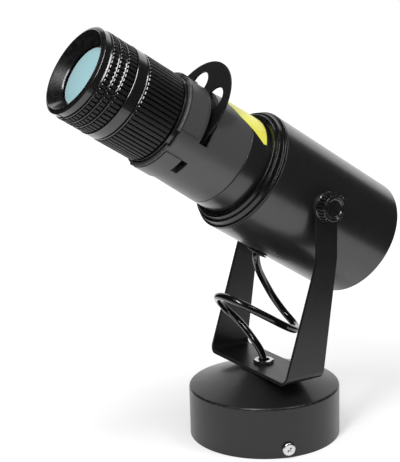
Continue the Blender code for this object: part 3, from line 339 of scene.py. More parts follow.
def blended(tree, factor, first, second):
    """Mix of two colours; either may be a colour or a socket."""
    mix = tree.nodes.new("ShaderNodeMix")
    mix.data_type = "RGBA"
    tree.links.new(factor, mix.inputs["Factor"])
    for socket, colour in ((mix.inputs[6], first), (mix.inputs[7], second)):
        if isinstance(colour, tuple):
            socket.default_value = (*colour, 1)
        else:
            tree.links.new(colour, socket)
    return mix.outputs[2]


def bumps(tree, shader, height, strength, distance):
    """Fine relief of the surface; distance is in metres."""
    step = tree.nodes.new("ShaderNodeBump")
    step.inputs["Strength"].default_value = strength
    step.inputs["Distance"].default_value = distance
    tree.links.new(height, step.inputs["Height"])
    tree.links.new(step.outputs["Normal"], shader.inputs["Normal"])


def worn_edges(tree, low, high):
    """Share of wear: high on the corners, broken up by noise."""
    read = tree.nodes.new("ShaderNodeAttribute")
    read.attribute_name = "edge"
    corner = spread(tree, read.outputs["Fac"], 0, 1, (0.15, 0.9))
    return times(tree, corner, spread(tree, noise(tree, 420, 4), low, high, (0.42, 0.6)))


def painted(name, dark, light, roughness, pit, pit_size, worn, coat=0.0, coat_roughness=0.2, shine=0.5):
    """Sprayed or moulded finish: fine pits, slow changes of gloss and tone, and rubbed corners.

    The tone drifts between dark and light, each given as (red and green, blue). pit is the depth of the pits
    and pit_size their number per metre, and worn is the share of paler colour on the corners.
    """
    colour, lighter = ((level, level, blue) for level, blue in (dark, light))
    material, tree, shader = blank(name, colour, roughness)
    shader.inputs["Specular IOR Level"].default_value = shine
    shader.inputs["Coat Weight"].default_value = coat
    shader.inputs["Coat Roughness"].default_value = coat_roughness
    tone = blended(tree, spread(tree, noise(tree, 36, 4), 0, 1), colour, lighter)
    rubbed = tuple(min(1, 3.2 * c + 0.012) for c in lighter)
    colours = blended(tree, worn_edges(tree, 0, worn), tone, rubbed)
    tree.links.new(colours, shader.inputs["Base Color"])
    gloss = spread(tree, noise(tree, 140, 4), roughness - 0.03, roughness + 0.03)
    tree.links.new(gloss, shader.inputs["Roughness"])
    bumps(tree, shader, noise(tree, pit_size, 2), pit, 0.00012)
    return material


def metal(name, colour, roughness, brush, scale, way=(1, 1, 1), tint=None):
    """Bare or plated metal with fine brushing and a faint change of tone."""
    material, tree, shader = blank(name, colour, roughness, 1.0)
    other = tint or tuple(0.86 * c for c in colour)
    tone = blended(tree, spread(tree, noise(tree, 60, 3), 0, 1), colour, other)
    tree.links.new(tone, shader.inputs["Base Color"])
    lines = noise(tree, scale, 3, way)
    tree.links.new(spread(tree, lines, roughness - 0.07, roughness + 0.1), shader.inputs["Roughness"])
    bumps(tree, shader, lines, brush, 0.00006)
    return material


def powder_coat():
    """Semi-matt powder on the canopy and the yoke."""
    return painted("powder_coat", (0.0105, 0.011), (0.012, 0.0125), 0.31, pit=0.08, pit_size=2600, worn=0.5)


def satin_paint():
    """Smooth paint of the tube and the neck."""
    return painted("satin_paint", (0.0145, 0.015), (0.016, 0.0165), 0.3, pit=0.05, pit_size=2200, worn=0.4,
                   coat=0.7, coat_roughness=0.22)


def gloss_paint():
    """Deep black of the stepped cap."""
    return painted("gloss_paint", (0.004, 0.0043), (0.005, 0.0054), 0.26, pit=0.03, pit_size=1500, worn=0.3,
                   coat=0.3, coat_roughness=0.14)


def blackened_steel():
    """Oxidised sheet of the pattern wheel."""
    return painted("blackened_steel", (0.0065, 0.007), (0.008, 0.0085), 0.38, pit=0.1, pit_size=1900,
                   worn=0.8, shine=0.25)


def grey_nylon():
    """Dark grey moulding of the barrel."""
    return painted("grey_nylon", (0.066, 0.0685), (0.07, 0.0725), 0.36, pit=0.08, pit_size=3000, worn=0.3,
                   coat=0.25, coat_roughness=0.28)


def black_nylon():
    """Glossy moulding of the rings and the knobs."""
    return painted("black_nylon", (0.009, 0.0094), (0.0108, 0.0112), 0.24, pit=0.04, pit_size=3200, worn=0.5,
                   coat=0.8, coat_roughness=0.1)


def rib_nylon():
    """Black nylon left matt by the mould: the tops of the grip ribs and the vent cover."""
    return painted("rib_nylon", (0.0095, 0.0098), (0.0115, 0.012), 0.46, pit=0.12, pit_size=3000, worn=0.3,
                   shine=0.4)


def hood_black():
    """Turned and blackened cone; its fine rings are real grooves, so it needs hardly any bump."""
    return painted("hood_black", (0.006, 0.0063), (0.0068, 0.0071), 0.22, pit=0.01, pit_size=1200, worn=0.3,
                   coat=0.7, coat_roughness=0.12)


def white_plastic():
    """Moulding of the terminal block and the driver box."""
    material, tree, shader = blank("white_plastic", (0.74, 0.74, 0.71), 0.42)
    tone = blended(tree, spread(tree, noise(tree, 45, 3), 0, 1), (0.76, 0.76, 0.73), (0.68, 0.68, 0.64))
    tree.links.new(tone, shader.inputs["Base Color"])
    bumps(tree, shader, noise(tree, 2400, 2), 0.12, 0.0001)
    return material


def phosphor():
    """Yellow grain over the lamp chip."""
    material, tree, shader = blank("phosphor", (0.86, 0.66, 0.1), 0.5)
    tone = blended(tree, spread(tree, noise(tree, 2600, 3), 0, 1), (0.9, 0.71, 0.12), (0.8, 0.58, 0.07))
    tree.links.new(tone, shader.inputs["Base Color"])
    bumps(tree, shader, noise(tree, 5200, 2), 0.3, 0.0001)
    return material


def cord_rubber():
    """Glossy black PVC with a slow unevenness from the extruder."""
    material, tree, shader = blank("cord_rubber", (0.004, 0.004, 0.0045), 0.16)
    shader.inputs["Coat Weight"].default_value = 0.8
    shader.inputs["Coat Roughness"].default_value = 0.08
    drift = spread(tree, noise(tree, 140, 3), 0, 1)
    tone = blended(tree, drift, (0.0035, 0.0035, 0.004), (0.006, 0.006, 0.0065))
    tree.links.new(tone, shader.inputs["Base Color"])
    tree.links.new(spread(tree, noise(tree, 260, 3), 0.13, 0.22), shader.inputs["Roughness"])
    bumps(tree, shader, noise(tree, 420, 3), 0.08, 0.0003)
    return material


def soft_rubber():
    """Matt rubber of the grommet and the spacers."""
    return painted("soft_rubber", (0.012, 0.012), (0.018, 0.018), 0.6, pit=0.25, pit_size=2400, worn=0.3)


def bright_steel():
    """Nickel plate of the bolt and the screws."""
    return metal("bright_steel", (0.78, 0.78, 0.78), 0.26, brush=0.1, scale=900)


def zinc_steel():
    """Zinc plate of the hidden fixings."""
    return metal("zinc_steel", (0.55, 0.56, 0.56), 0.32, brush=0.3, scale=1400, tint=(0.47, 0.48, 0.5))


def bare_aluminium():
    """Drawn aluminium, streaked along its length."""
    return metal("bare_aluminium", (0.7, 0.71, 0.72), 0.34, brush=0.35, scale=1800, way=(1, 1, 0.08))


def coated_glass():
    """Lens with a pale blue-green coating, then, by radius in metres, a pale ring painted in as the highlight
    at the rim of the hood's opening and a near-black ring painted in as the shade where the glass meets the
    hood.
    """
    glint_ring_from, shade_ring_from = (0.0178, 0.018), (0.0183, 0.0185)
    material, tree, shader = blank("coated_glass", (0.42, 0.68, 0.73), 0.3)
    where = tree.nodes.new("ShaderNodeTexCoord").outputs["Object"]
    beam = tree.nodes.new("ShaderNodeMapping")
    beam.vector_type = "TEXTURE"
    beam.inputs["Location"].default_value = [c * MM for c in PIVOT]
    beam.inputs["Rotation"].default_value = (pi / 2 - TILT, 0, 0)
    tree.links.new(where, beam.inputs["Vector"])
    split = tree.nodes.new("ShaderNodeSeparateXYZ")
    tree.links.new(beam.outputs["Vector"], split.inputs["Vector"])
    flat = tree.nodes.new("ShaderNodeCombineXYZ")
    tree.links.new(split.outputs["X"], flat.inputs["X"])
    tree.links.new(split.outputs["Y"], flat.inputs["Y"])
    away = tree.nodes.new("ShaderNodeVectorMath")
    away.operation = "LENGTH"
    tree.links.new(flat.outputs["Vector"], away.inputs[0])
    # Painted light on the glass: bevel masks a pale ring that stands in for the highlight at the hood's
    # opening, and edge masks a near-black ring that stands in for the shade just outside it.
    bevel = spread(tree, away.outputs["Value"], 0, 1, glint_ring_from)
    edge = spread(tree, away.outputs["Value"], 0, 1, shade_ring_from)
    middle = blended(tree, spread(tree, noise(tree, 35, 2), 0, 1), (0.4, 0.67, 0.72), (0.43, 0.69, 0.74))
    with_glint_ring = blended(tree, bevel, middle, (0.78, 0.9, 0.93))
    tree.links.new(blended(tree, edge, with_glint_ring, (0.012, 0.011, 0.018)), shader.inputs["Base Color"])
    shader.inputs["Coat Weight"].default_value = 0.25
    shader.inputs["Coat Roughness"].default_value = 0.12
    return material


def yellow_film():
    """Bare yellow sticker film, faintly uneven."""
    material, tree, shader = blank("yellow_film", (0.92, 0.88, 0.12), 0.28)
    tone = blended(tree, spread(tree, noise(tree, 120, 3), 0, 1), (0.93, 0.9, 0.13), (0.9, 0.86, 0.11))
    tree.links.new(tone, shader.inputs["Base Color"])
    bumps(tree, shader, noise(tree, 380, 2), 0.08, 0.0002)
    return material


# Camera


def make_camera():
    """The photograph's viewpoint, from the ellipses of the canopy, the tube and the lens."""
    focal_px, frame_px, sensor, distance = 1149.234, 462, 36, 744.7
    azimuth, elevation, roll = radians(59.005), radians(12.578), radians(-1.595)
    back = Vector((sin(azimuth) * cos(elevation), -cos(azimuth) * cos(elevation), sin(elevation)))
    side = Vector((cos(azimuth), sin(azimuth), 0))
    up = back.cross(side)
    right = side * cos(roll) + up * sin(roll)
    above = up * cos(roll) - side * sin(roll)
    target = side * -39.932 + Vector((0, 0, 137.769))
    data = bpy.data.cameras.new("photo_camera")
    data.lens = focal_px / frame_px * sensor
    data.clip_start, data.clip_end = 0.01, 50
    camera = bpy.data.objects.new("photo_camera", data)
    bpy.context.scene.collection.objects.link(camera)
    turn = Matrix((right, above, back)).transposed().to_4x4()
    camera.matrix_world = Matrix.Translation((target + back * distance) * MM) @ turn
    bpy.context.scene.camera = camera


# Cord

CORD_R = 2.5
CORD_ROUTE = [(0, 0, 14.6), (0, 0, 28), (0, 0, 40), (0, 0, 47), (-1.7, -0.8, 54.4), (-6.8, -3, 61.6),
              (-14.4, -4.4, 67.6), (-21.2, -7, 73.4), (-25, -12.2, 79.8), (-23.8, -18.2, 86.2),
              (-18.9, -23.2, 91.1), (-12.3, -26.7, 94.4), (-4.2, -27.3, 96), (4.7, -24.4, 94.5),
              (13.2, -17.4, 90), (18.8, -7.9, 83.8), (20.6, 2.6, 77.2), (18.3, 11.8, 72.4),
              (12.2, 18.2, 70.6), (4.2, 21.5, 71.8), (-4.4, 20, 77.7), (-10.2, 15.6, 87.2), (-11.4, 9.8, 98),
              (-9.2, 4.5, 106), (-6.8, 1.1, 111.4), (-5.1, -1, 116), (-4.3, -1.7, 119.8), (-3.95, -1.1, 123),
              (-3.7, -0.3, 126.6)]


def smooth_route(points, between=12):
    """Points of the smooth curve through the given ones."""
    knots = [Vector(p) * MM for p in points]
    knots = [2 * knots[0] - knots[1]] + knots + [2 * knots[-1] - knots[-2]]
    route = []
    for a, b, c, d in zip(knots, knots[1:], knots[2:], knots[3:]):
        for i in range(between):
            t = i / between
            route.append(0.5 * (2 * b + (c - a) * t + (2 * a - 5 * b + 4 * c - d) * t * t
                                + (3 * b - a - 3 * c + d) * t ** 3))
    return route + [knots[-2]]


def make_cord(rubber):
    """Cord from inside the canopy through the hollow bolt, once round in the yoke and into the head."""
    route = smooth_route(CORD_ROUTE)
    curve = bpy.data.curves.new("mains_cord", "CURVE")
    curve.dimensions = "3D"
    curve.bevel_depth = CORD_R * MM
    curve.bevel_resolution = 6
    curve.use_fill_caps = True
    spline = curve.splines.new("POLY")
    spline.points.add(len(route) - 1)
    for point, place in zip(spline.points, route):
        point.co = (*place, 1)
    line = bpy.data.objects.new("mains_cord_line", curve)
    bpy.context.scene.collection.objects.link(line)
    bpy.context.view_layer.update()
    mesh = bpy.data.meshes.new_from_object(line)
    bpy.data.objects.remove(line)
    bpy.data.curves.remove(curve)
    tidy = bmesh.new()
    tidy.from_mesh(mesh)
    bmesh.ops.remove_doubles(tidy, verts=tidy.verts, dist=1e-6)
    bmesh.ops.recalc_face_normals(tidy, faces=tidy.faces)
    tidy.to_mesh(mesh)
    tidy.free()
    mesh.shade_smooth()
    mesh.set_sharp_from_angle(angle=radians(50))
    cord = bpy.data.objects.new("mains_cord", mesh)
    bpy.context.scene.collection.objects.link(cord)
    mesh.materials.clear()
    mesh.materials.append(rubber)
    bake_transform(cord)
    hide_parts("power_cord")


# Canopy and bolt

# The side screws' own frame: they lie along local X, at their height in the cup's wall
SCREWS = Matrix.Translation((0, 0, 6.3)) @ Matrix.Rotation(radians(-17), 4, "Z")


def make_canopy(coat):
    """Cup with a straight wall, a shallow cone and a flat that carries the yoke."""
    radius, shoulder, flat, top, wall, bore = 50, 33.3, 15.4, 45, 1.5, 4.9
    inside, ceiling = radius - wall, top - wall
    drop = wall / cos(atan2(top - shoulder, radius - flat))
    outer = [(radius, 0, 0.3), (radius, 3.4), (radius, 9.2), (radius, shoulder, 1.3), (flat, top, 1.2)]
    inner = [(bore, top, 0.2), (bore, ceiling, 0.2), (flat, ceiling, 1), (inside, shoulder - drop, 1.4),
             (inside, 9.2), (inside, 3.4), (inside, 0, 0.3)]
    cup = turned(outer + inner, 192)
    holes = [moved(rod(2, 42, 56, 24), turn=side * pi / 2, axis="Y") for side in (1, -1)]
    drill = placed(joined(*holes), SCREWS)
    piece("canopy_cup", combined(cup, drill), WORLD, "canopy", coat, "canopy_powder", "canopy")


def phillips(bm, radius, top, depth, width):
    """Cross recess sunk in a screw head whose crown is at height top."""
    blades = []
    for turn in (0, pi / 2):
        blade = box((-radius, radius), (-width / 2, width / 2), (top - depth, top + 1))
        for vert in blade.verts:
            if vert.co.z < top:
                vert.co.x *= 0.45
                vert.co.y *= 0.8
        blades.append(moved(blade, turn=turn + pi / 4))
    cross = combined(blades[0], blades[1], "UNION")
    return combined(bm, cross)


def pan_screw(shank_r, shank, head_r, head_h):
    """Pan head screw standing on local Z = 0 with its shank below, pitched rings for a thread."""
    pitch, depth = 0.7, 0.3
    profile = [(0, -shank), (shank_r - 0.35, -shank)]
    for i in range(int(shank / pitch) - 1):
        z = -shank + pitch / 2 + i * pitch
        profile += [(shank_r, z), (shank_r - depth, z + pitch / 2)]
    profile += [(shank_r - depth, 0), (head_r, 0, 0.25), (head_r, 0.5 * head_h, 0.4),
                (0.86 * head_r, 0.9 * head_h, 0.5), (0.4 * head_r, head_h), (0, head_h)]
    bm = turned(profile, 48, closed=False)
    return phillips(bm, 0.55 * head_r, head_h, 0.62 * head_h, 0.26 * head_r)


def make_canopy_screws(steel):
    """Two screws through the cup's wall, into the ears of the mounting bar."""
    for number, side in enumerate((1, -1), 1):
        place = SCREWS @ Matrix.Rotation(side * pi / 2, 4, "Y") @ Matrix.Translation((0, 0, 50.3))
        piece(f"pan_screw_{number}", pan_screw(1.7, 5.6, 4.3, 2.2), place, "canopy", steel, "bright_steel",
              f"canopy_screw_{number}")


def make_bolt(steel):
    """Hollow bolt: chamfered hexagon, washer face, threaded shank and a bore for the cord."""
    top, pitch = 47.6, 0.8
    crown = turned([(0, top - 1), (8, top - 1), (8, top + 0.9), (6.1, top + 1.8), (0, top + 1.8)], 96,
                   closed=False)
    nut = combined(hexagon(12, top, top + 1.8), crown, "INTERSECT")
    profile = [(3.0, 32), (4.1, 32)]
    for i in range(14):
        z = 32.4 + i * pitch
        profile += [(4.6, z), (4.2, z + pitch / 2)]
    profile += [(4.2, 44.2), (4.6, 44.8), (4.6, top + 0.6), (3.0, top + 0.6)]
    shank = turned(profile, 64)
    whole = combined(nut, shank, "UNION")
    bore = turned([(0, 31), (3.6, 31), (3.6, top + 1.3), (4.2, top + 1.9), (4.2, top + 3), (0, top + 3)],
                  64, closed=False)
    piece("cord_bolt", combined(whole, bore), WORLD, "canopy", steel, "bright_steel", "hollow_bolt")


# Yoke and knobs

YOKE_HALF, STRAP, PLATE_Z = 44.8, 2.0, 45.3


def make_yoke(coat):
    """U of flat strap cut to the side view: wide foot, narrow leaning arms, round ends."""
    bend, reach = 6, 170
    arm = YOKE_HALF - STRAP
    corner = YOKE_HALF - bend
    rise = PLATE_Z + bend
    channel = ([(-YOKE_HALF, reach)] + arc(-corner, rise, bend, pi, 1.5 * pi, 14)
               + arc(corner, rise, bend, 1.5 * pi, 2 * pi, 14) + [(YOKE_HALF, reach), (arm, reach)]
               + arc(corner, rise, bend - STRAP, 2 * pi, 1.5 * pi, 14)
               + arc(-corner, rise, bend - STRAP, 1.5 * pi, pi, 14) + [(-arm, reach)])
    strip = moved(prism(channel, -30, 30), turn=pi / 2, axis="X")
    side = ([(-14.8, PLATE_Z - 1), (15.2, PLATE_Z - 1), (26.8, 123)] + arc(PIVOT[1], PIVOT[2], 8.2, 0, pi, 32)
            + [(10.8, 123)])
    sideways = Matrix(((0, 0, 1, 0), (1, 0, 0, 0), (0, 1, 0, 0), (0, 0, 0, 1)))
    view = placed(prism(side, -60, 60), sideways)
    yoke = combined(strip, view, "INTERSECT")
    pivot = moved(rod(3.3, -60, 60, 48), PIVOT, pi / 2, "Y")
    yoke = combined(yoke, joined(pivot, rod(4.9, 40, 52, 48)))
    piece("yoke_strap", eased(yoke, 0.35, 3), WORLD, "yoke", coat, "satin_black", "yoke")


def make_knob(side, label, nylon):
    """Thumb knob with raised ribs round a pocket that a plain cap closes."""
    place = Matrix.Translation(PIVOT) @ Matrix.Rotation(side * pi / 2, 4, "Y")
    start, top = YOKE_HALF + 0.3, YOKE_HALF + 8.1
    profile = [(3.3, start), (8.8, start), (9.5, start + 0.3), (9.5, start + 0.55), (8.95, start + 1.35),
               (8.5, start + 1.4), (8.5, start + 1.55), (8.5, top - 0.45), (8.3, top - 0.15), (7.9, top),
               (6.9, top), (6.6, top - 0.3), (6.6, start + 1.6), (3.3, start + 1.6)]
    knob = ribbed(profile, [(start + 1.55, top - 0.45)], ribs=26, rise=1.15, crest=0.5, rounding=0.32)
    piece(f"thumb_grip_{label}", knob, place, f"knob_{label}", nylon, "black_plastic", f"thumb_knob_{label}")
    cap = turned([(0, start + 4.6), (6.4, start + 4.6), (6.4, top - 0.25, 0.3), (6.0, top - 0.25, 0.15),
                  (5.3, top - 1.25, 0.4), (0, top - 1.4)], 72, closed=False)
    piece(f"thumb_cap_{label}", cap, place, f"knob_{label}", nylon, "black_plastic", f"knob_cap_{label}")


# Head


def make_housing(paint):
    """Tube of the rear body with its pivot and cord holes."""
    tube = turned([(38.7, -67.1, 0.3), (38.7, 37.3, 0.3), (40.5, 37.3, 0.35), (40.5, -67.1, 1.2)], 216)
    pivots = moved(rod(3.3, -60, 60, 48), (0, 0, AXIS_S), pi / 2, "Y")
    hole = placed(rod(5.5, 34, 46, 48), INLET)
    piece("body_tube", combined(tube, joined(pivots, hole)), HEAD, "head", paint, "satin_black", "housing")


def make_front_cap(paint):
    """Stepped cap with two ridges between the tube and the neck."""
    profile = [(32.5, 44.6, 0.25), (32.5, 37.6, 0.2), (36.6, 37.6, 0.2), (36.6, 31.3, 0.2),
               (38.4, 31.3, 0.2), (38.4, 37.6, 0.1), (40.5, 37.6, 0.3), (40.5, 38.9, 0.45),
               (38.9, 39.5, 0.3), (38.3, 42.4, 0.45), (36.6, 42.4, 0.25), (36.0, 44.6, 0.45)]
    piece("stepped_cap", turned(profile, 216), HEAD, "head", paint, "gloss_black", "front_cap")


def make_neck(paint):
    """Plain sleeve between the cap and the barrel."""
    profile = [(32.2, 18.3, 0.2), (32.2, 59.2, 0.5), (30.2, 59.2, 0.2), (30.2, 18.3, 0.2)]
    piece("neck_tube", turned(profile, 180), HEAD, "head", paint, "gloss_black", "neck_sleeve")


def make_grommet(rubber):
    """Flanged sleeve round the cord."""
    profile = [(3.9, 38.1, 0.2), (5.2, 38.1, 0.2), (5.2, 40.8), (7, 40.8, 0.25), (7, 41.5, 0.3),
               (4.6, 42.1, 0.3), (3.9, 42.1, 0.25)]
    piece("cord_sleeve", turned(profile, 64), HEAD @ INLET, "head", rubber, "black_rubber", "cord_grommet")


def make_rear_cover(nylon):
    """Vented disc sunk in the back of the tube."""
    profile = [(0, -65.6), (38.4, -65.6, 0.6), (38.4, -57.6, 0.2), (36.8, -57.6, 0.2), (36.8, -63.6, 0.4),
               (0, -63.6)]
    cover = turned(profile, 180, closed=False)
    vents, screw, half, span = [], 20.5, 1.6, 0.73
    for radius, count in ((12, 3), (20, 6)):
        pitch = 2 * pi / count
        for i in range(count):
            start = (i + (1 - span) / 2) * pitch
            vents.append(sector(radius + half, radius - half, start, span * pitch, -67, -62, 24))
    for x in (-screw, screw):
        for y in (-screw, screw):
            vents.append(moved(rod(1.8, -67, -62, 24), (x, y, 0)))
    cover = combined(cover, joined(*vents))
    piece("vent_cover", eased(cover, 0.2, 2, 60), HEAD, "head", nylon, "black_plastic", "rear_cover")


def make_barrel(nylon):
    """Tapered barrel with the wheel slot, windows, four bayonet pads and a notched lip."""
    profile = [(27.4, 50.8), (29.9, 50.8, 0.2), (29.9, 59.5), (32.2, 59.5, 0.3), (30.9, 95), (30.9, 108.2),
               (31.55, 108.4, 0.15), (31.55, 108.9, 0.2), (31.0, 109.15), (31.0, 109.4, 0.3),
               (29.1, 109.4, 0.25), (29.1, 81.7), (27.4, 81.7)]
    barrel = moved(turned(profile, 180), turn=radians(1))
    starts = [radians(35 + 90 * i) for i in range(4)]
    pads = [sector(31.8, 30.0, start, radians(60), 95, 107.6, 30, corner=2.4) for start in starts]
    barrel = combined(barrel, joined(*pads), "UNION")
    barrel = combined(barrel, sector(34, 28, radians(-99), radians(198), 86.2, 92.9, 99))
    windows = [sector(34, 28, starts[i], radians(20), 90.5, 95.8, 10) for i in (1, 2)]
    notches = [sector(34, 28, start + radians(64), radians(20), 107.2, 112, 10) for start in starts]
    barrel = combined(barrel, joined(*(windows + notches)))
    piece("lens_barrel", eased(barrel, 0.22, 2, 40), HEAD, "head", nylon, "grey_plastic", "barrel")


def make_gobo_wheel(steel):
    """Thin wheel with four round openings, standing in the barrel's slot."""
    offset = 18
    place = HEAD @ Matrix.Translation((0, offset, 88)) @ Matrix.Rotation(radians(25), 4, "Z")
    wheel = rod(32, -0.6, 0.6, steps=180)
    holes = [rod(1.8, -2, 2, 32)]
    for i in range(4):
        holes.append(moved(rod(8, -2, 2, 72), (offset * cos(i * pi / 2), offset * sin(i * pi / 2), 0)))
    wheel = combined(wheel, joined(*holes))
    piece("pattern_wheel", eased(wheel, 0.18, 2, 60), place, "gobo_wheel", steel, "matte_black_metal",
          "gobo_wheel")


def make_sticker(film):
    """Bare yellow sticker, bent round the neck and the barrel behind the wheel."""
    outline = [(47.4, 60), (49.6, 61), (59, 50.3), (69, 40.8), (76, 29.4), (79.5, 20), (79.5, -6), (47.4, -6)]
    radius, barrel_start, taper, lift = 32.2, 59.5, 1.3 / 35.5, 0.12
    sheet = bmesh.new()
    face = sheet.faces.new([sheet.verts.new((s, radians(a) * radius, 0)) for s, a in outline])
    for axis, count in ((0, 14), (1, 22)):
        low = min(v.co[axis] for v in sheet.verts)
        high = max(v.co[axis] for v in sheet.verts)
        for i in range(1, count):
            spot = [0, 0, 0]
            spot[axis] = low + (high - low) * i / count
            way = (1, 0, 0) if axis == 0 else (0, 1, 0)
            bmesh.ops.bisect_plane(sheet, geom=sheet.verts[:] + sheet.edges[:] + sheet.faces[:],
                                   plane_co=spot, plane_no=way)
    for vert in sheet.verts:
        s, turn = vert.co.x, vert.co.y / radius
        over = radius + lift - taper * max(0, s - barrel_start)
        vert.co = (over * sin(turn), over * cos(turn), s)
    bmesh.ops.recalc_face_normals(sheet, faces=sheet.faces)
    if sum(f.normal.y for f in sheet.faces) < 0:
        bmesh.ops.reverse_faces(sheet, faces=sheet.faces)
    bmesh.ops.solidify(sheet, geom=sheet.faces[:], thickness=0.1)
    piece("bare_sticker", sheet, HEAD, "head", film, "grey_plastic", level=False)


# Lens rings

GRIP = dict(ribs=60, rise=1.6, crest=0.7, rounding=0.4, slope=0.5)


def make_zoom_ring(nylon, tops):
    """Rear grip: long ribs behind a chamfered front lip, and a plain back edge."""
    root = 27.5
    profile = [(26.6, 111.9), (root, 111.9), (root, 112.3), (root, 138.2), (28.8, 138.25), (28.8, 138.95),
               (28.1, 139.7), (26.6, 139.7)]
    ring = ribbed(profile, [(112.3, 138.2)], **GRIP)
    piece("zoom_grip", ring, HEAD, "zoom_ring", [nylon, tops], "black_plastic", "zoom_ring")


def make_focus_ring(nylon, tops):
    """Front ring: a smooth band, three rows of short ribs, each with a chamfered lip, and a plain rim."""
    root = 27.2
    rows = [(147.25, 153.75), (155.2, 159.2), (160.65, 164.6)]
    profile = [(24.6, 140.0), (28.7, 140.0), (29.1, 140.4), (29.1, 146.75), (28.85, 147.0), (root, 147.0)]
    for low, high in rows:
        profile += [(root, low), (root, high), (28.5, high + 0.05), (28.5, high + 0.55), (27.8, high + 1.25)]
        if high < rows[-1][1]:
            profile.append((root, high + 1.3))
    profile += [(28.1, 166.2), (28.1, 169.8), (27.6, 170.35), (26.4, 170.75), (26.4, 164.3), (24.6, 164.3)]
    ring = ribbed(profile, rows, **GRIP)
    piece("focus_grip", ring, HEAD, "focus_ring", [nylon, tops], "black_plastic", "focus_ring")


def make_hood(nylon):
    """Cone in front of the glass, turned with shallow light-trapping rings; its lip stands a little proud."""
    profile = [(18.7, 164.6, 0.1), (26.15, 164.6), (26.15, 170.75), (25.6, 171.2)]
    rings, groove = 8, 0.06
    inward, back = 6.6 / rings, 6.3 / rings
    for i in range(rings):
        r, s = 25.3 - i * inward, 171.1 - i * back
        profile += [(r, s), (r - inward / 2 + groove, s - back / 2 - groove)]
    piece("light_hood", turned(profile, 216), HEAD, "lens_cell", nylon, "black_plastic", "hood_cone")


def make_front_glass(glass):
    """Front lens: flat behind, domed in front."""
    radius, crown, rim, steps = 23.3, 1.4, 162.7, 12
    ball = (radius ** 2 + crown ** 2) / (2 * crown)
    face = []
    for i in range(steps + 1):
        r = 23.0 * (steps - i) / steps
        face.append((r, rim + crown - (ball - sqrt(ball ** 2 - r ** 2))))
    profile = [(0, 160.2), (radius, 160.2, 0.2), (radius, 162.6, 0.2)] + face
    piece("front_glass", turned(profile, 128, closed=False), HEAD, "lens_cell", glass, "coated_glass",
          "front_lens")


def make_guide_sleeve(nylon):
    """Fixed sleeve that the two rings turn on."""
    profile = [(24.6, 94.5, 0.2), (28.8, 94.5, 0.2), (28.8, 111.0, 0.2), (26.3, 111.0), (26.3, 139.4, 0.2),
               (24.6, 139.4, 0.2)]
    piece("guide_tube", turned(profile, 128), HEAD, "head", nylon, "black_plastic", "guide_sleeve")


def make_lens_cell(nylon):
    """Sliding tube that holds the front lens."""
    profile = [(22.3, 128, 0.2), (24.3, 128, 0.2), (24.3, 164.3, 0.2), (23.6, 164.3), (23.6, 159.9),
               (22.3, 159.9, 0.2)]
    piece("front_cell", turned(profile, 128), HEAD, "lens_cell", nylon, "black_plastic", "lens_cell")


def make_spacers(rubber):
    """Washers between the tube and the yoke's arms."""
    for side, label in ((1, "right"), (-1, "left")):
        place = Matrix.Translation(PIVOT) @ Matrix.Rotation(side * pi / 2, 4, "Y")
        profile = [(3.3, 40.8, 0.15), (8, 40.8, 0.25), (8, 42.5, 0.25), (3.3, 42.5, 0.15)]
        piece(f"washer_{label}", turned(profile, 64), place, "head", rubber, "black_rubber",
              f"pivot_spacer_{label}")


def finish_kept_nodes(finishes):
    """CAD nodes whose shape is right get their real finish."""
    kept = {
        "zinc": ["mounting_bar", "lock_washer", "lower_nut", "pivot_stud_right", "pivot_stud_left"],
        "white": ["terminal_block", "lamp_board", "driver_case"],
        "aluminium": ["heat_sink", "reflector", "gate_plate", "zoom_carriage"],
        "phosphor": ["lamp_chip"],
        "steel": ["board_screw_1", "board_screw_2", "wheel_rivet", "fan_screw_1", "fan_screw_2",
                  "fan_screw_3", "fan_screw_4"],
        "glass": ["condenser_lens", "rear_lens"],
        "black": ["fan_frame", "fan_rotor"],
    }
    for look, nodes in kept.items():
        for node in nodes:
            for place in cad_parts[node].material_slots:
                place.material = finishes[look]


# Floor and light


def seen(tree, unseen):
    """Socket that is 1 for camera, glossy and transmission rays and unseen for the rest."""
    path = tree.nodes.new("ShaderNodeLightPath")
    either = None
    for ray in ("Is Camera Ray", "Is Glossy Ray", "Is Transmission Ray"):
        if either is None:
            either = path.outputs[ray]
            continue
        step = tree.nodes.new("ShaderNodeMath")
        step.operation = "MAXIMUM"
        tree.links.new(either, step.inputs[0])
        tree.links.new(path.outputs[ray], step.inputs[1])
        either = step.outputs["Value"]
    return spread(tree, either, unseen, 1, (0, 1))


def make_floor():
    """White paper floor with the object's shadow; it glows more further out, where the lamps fall off."""
    bm = bmesh.new()
    bmesh.ops.create_circle(bm, cap_ends=True, segments=96, radius=6)
    mesh = bpy.data.meshes.new("floor")
    bm.to_mesh(mesh)
    bm.free()
    floor = bpy.data.objects.new("floor", mesh)
    bpy.context.scene.collection.objects.link(floor)
    material, tree, shader = blank("floor_paper", (0.8, 0.8, 0.8), 0.9)
    shader.inputs["Specular IOR Level"].default_value = 0
    shader.inputs["Emission Color"].default_value = (1, 1, 1, 1)
    away = tree.nodes.new("ShaderNodeVectorMath")
    away.operation = "LENGTH"
    tree.links.new(tree.nodes.new("ShaderNodeTexCoord").outputs["Object"], away.inputs[0])
    glow = spread(tree, away.outputs["Value"], 0.34, 0.62, (0.2, 0.8))
    tree.links.new(times(tree, glow, seen(tree, 0)), shader.inputs["Emission Strength"])
    mesh.materials.append(material)


def flag(name, bm, material):
    """Black cloth of the studio: it darkens reflections only, and neither shows nor shades."""
    bmesh.ops.recalc_face_normals(bm, faces=bm.faces)
    mesh = bpy.data.meshes.new(name)
    bm.to_mesh(mesh)
    bm.free()
    mesh.shade_smooth()
    mesh.materials.append(material)
    cloth = bpy.data.objects.new(name, mesh)
    bpy.context.scene.collection.objects.link(cloth)
    cloth.visible_camera = False
    cloth.visible_diffuse = False
    cloth.visible_shadow = False


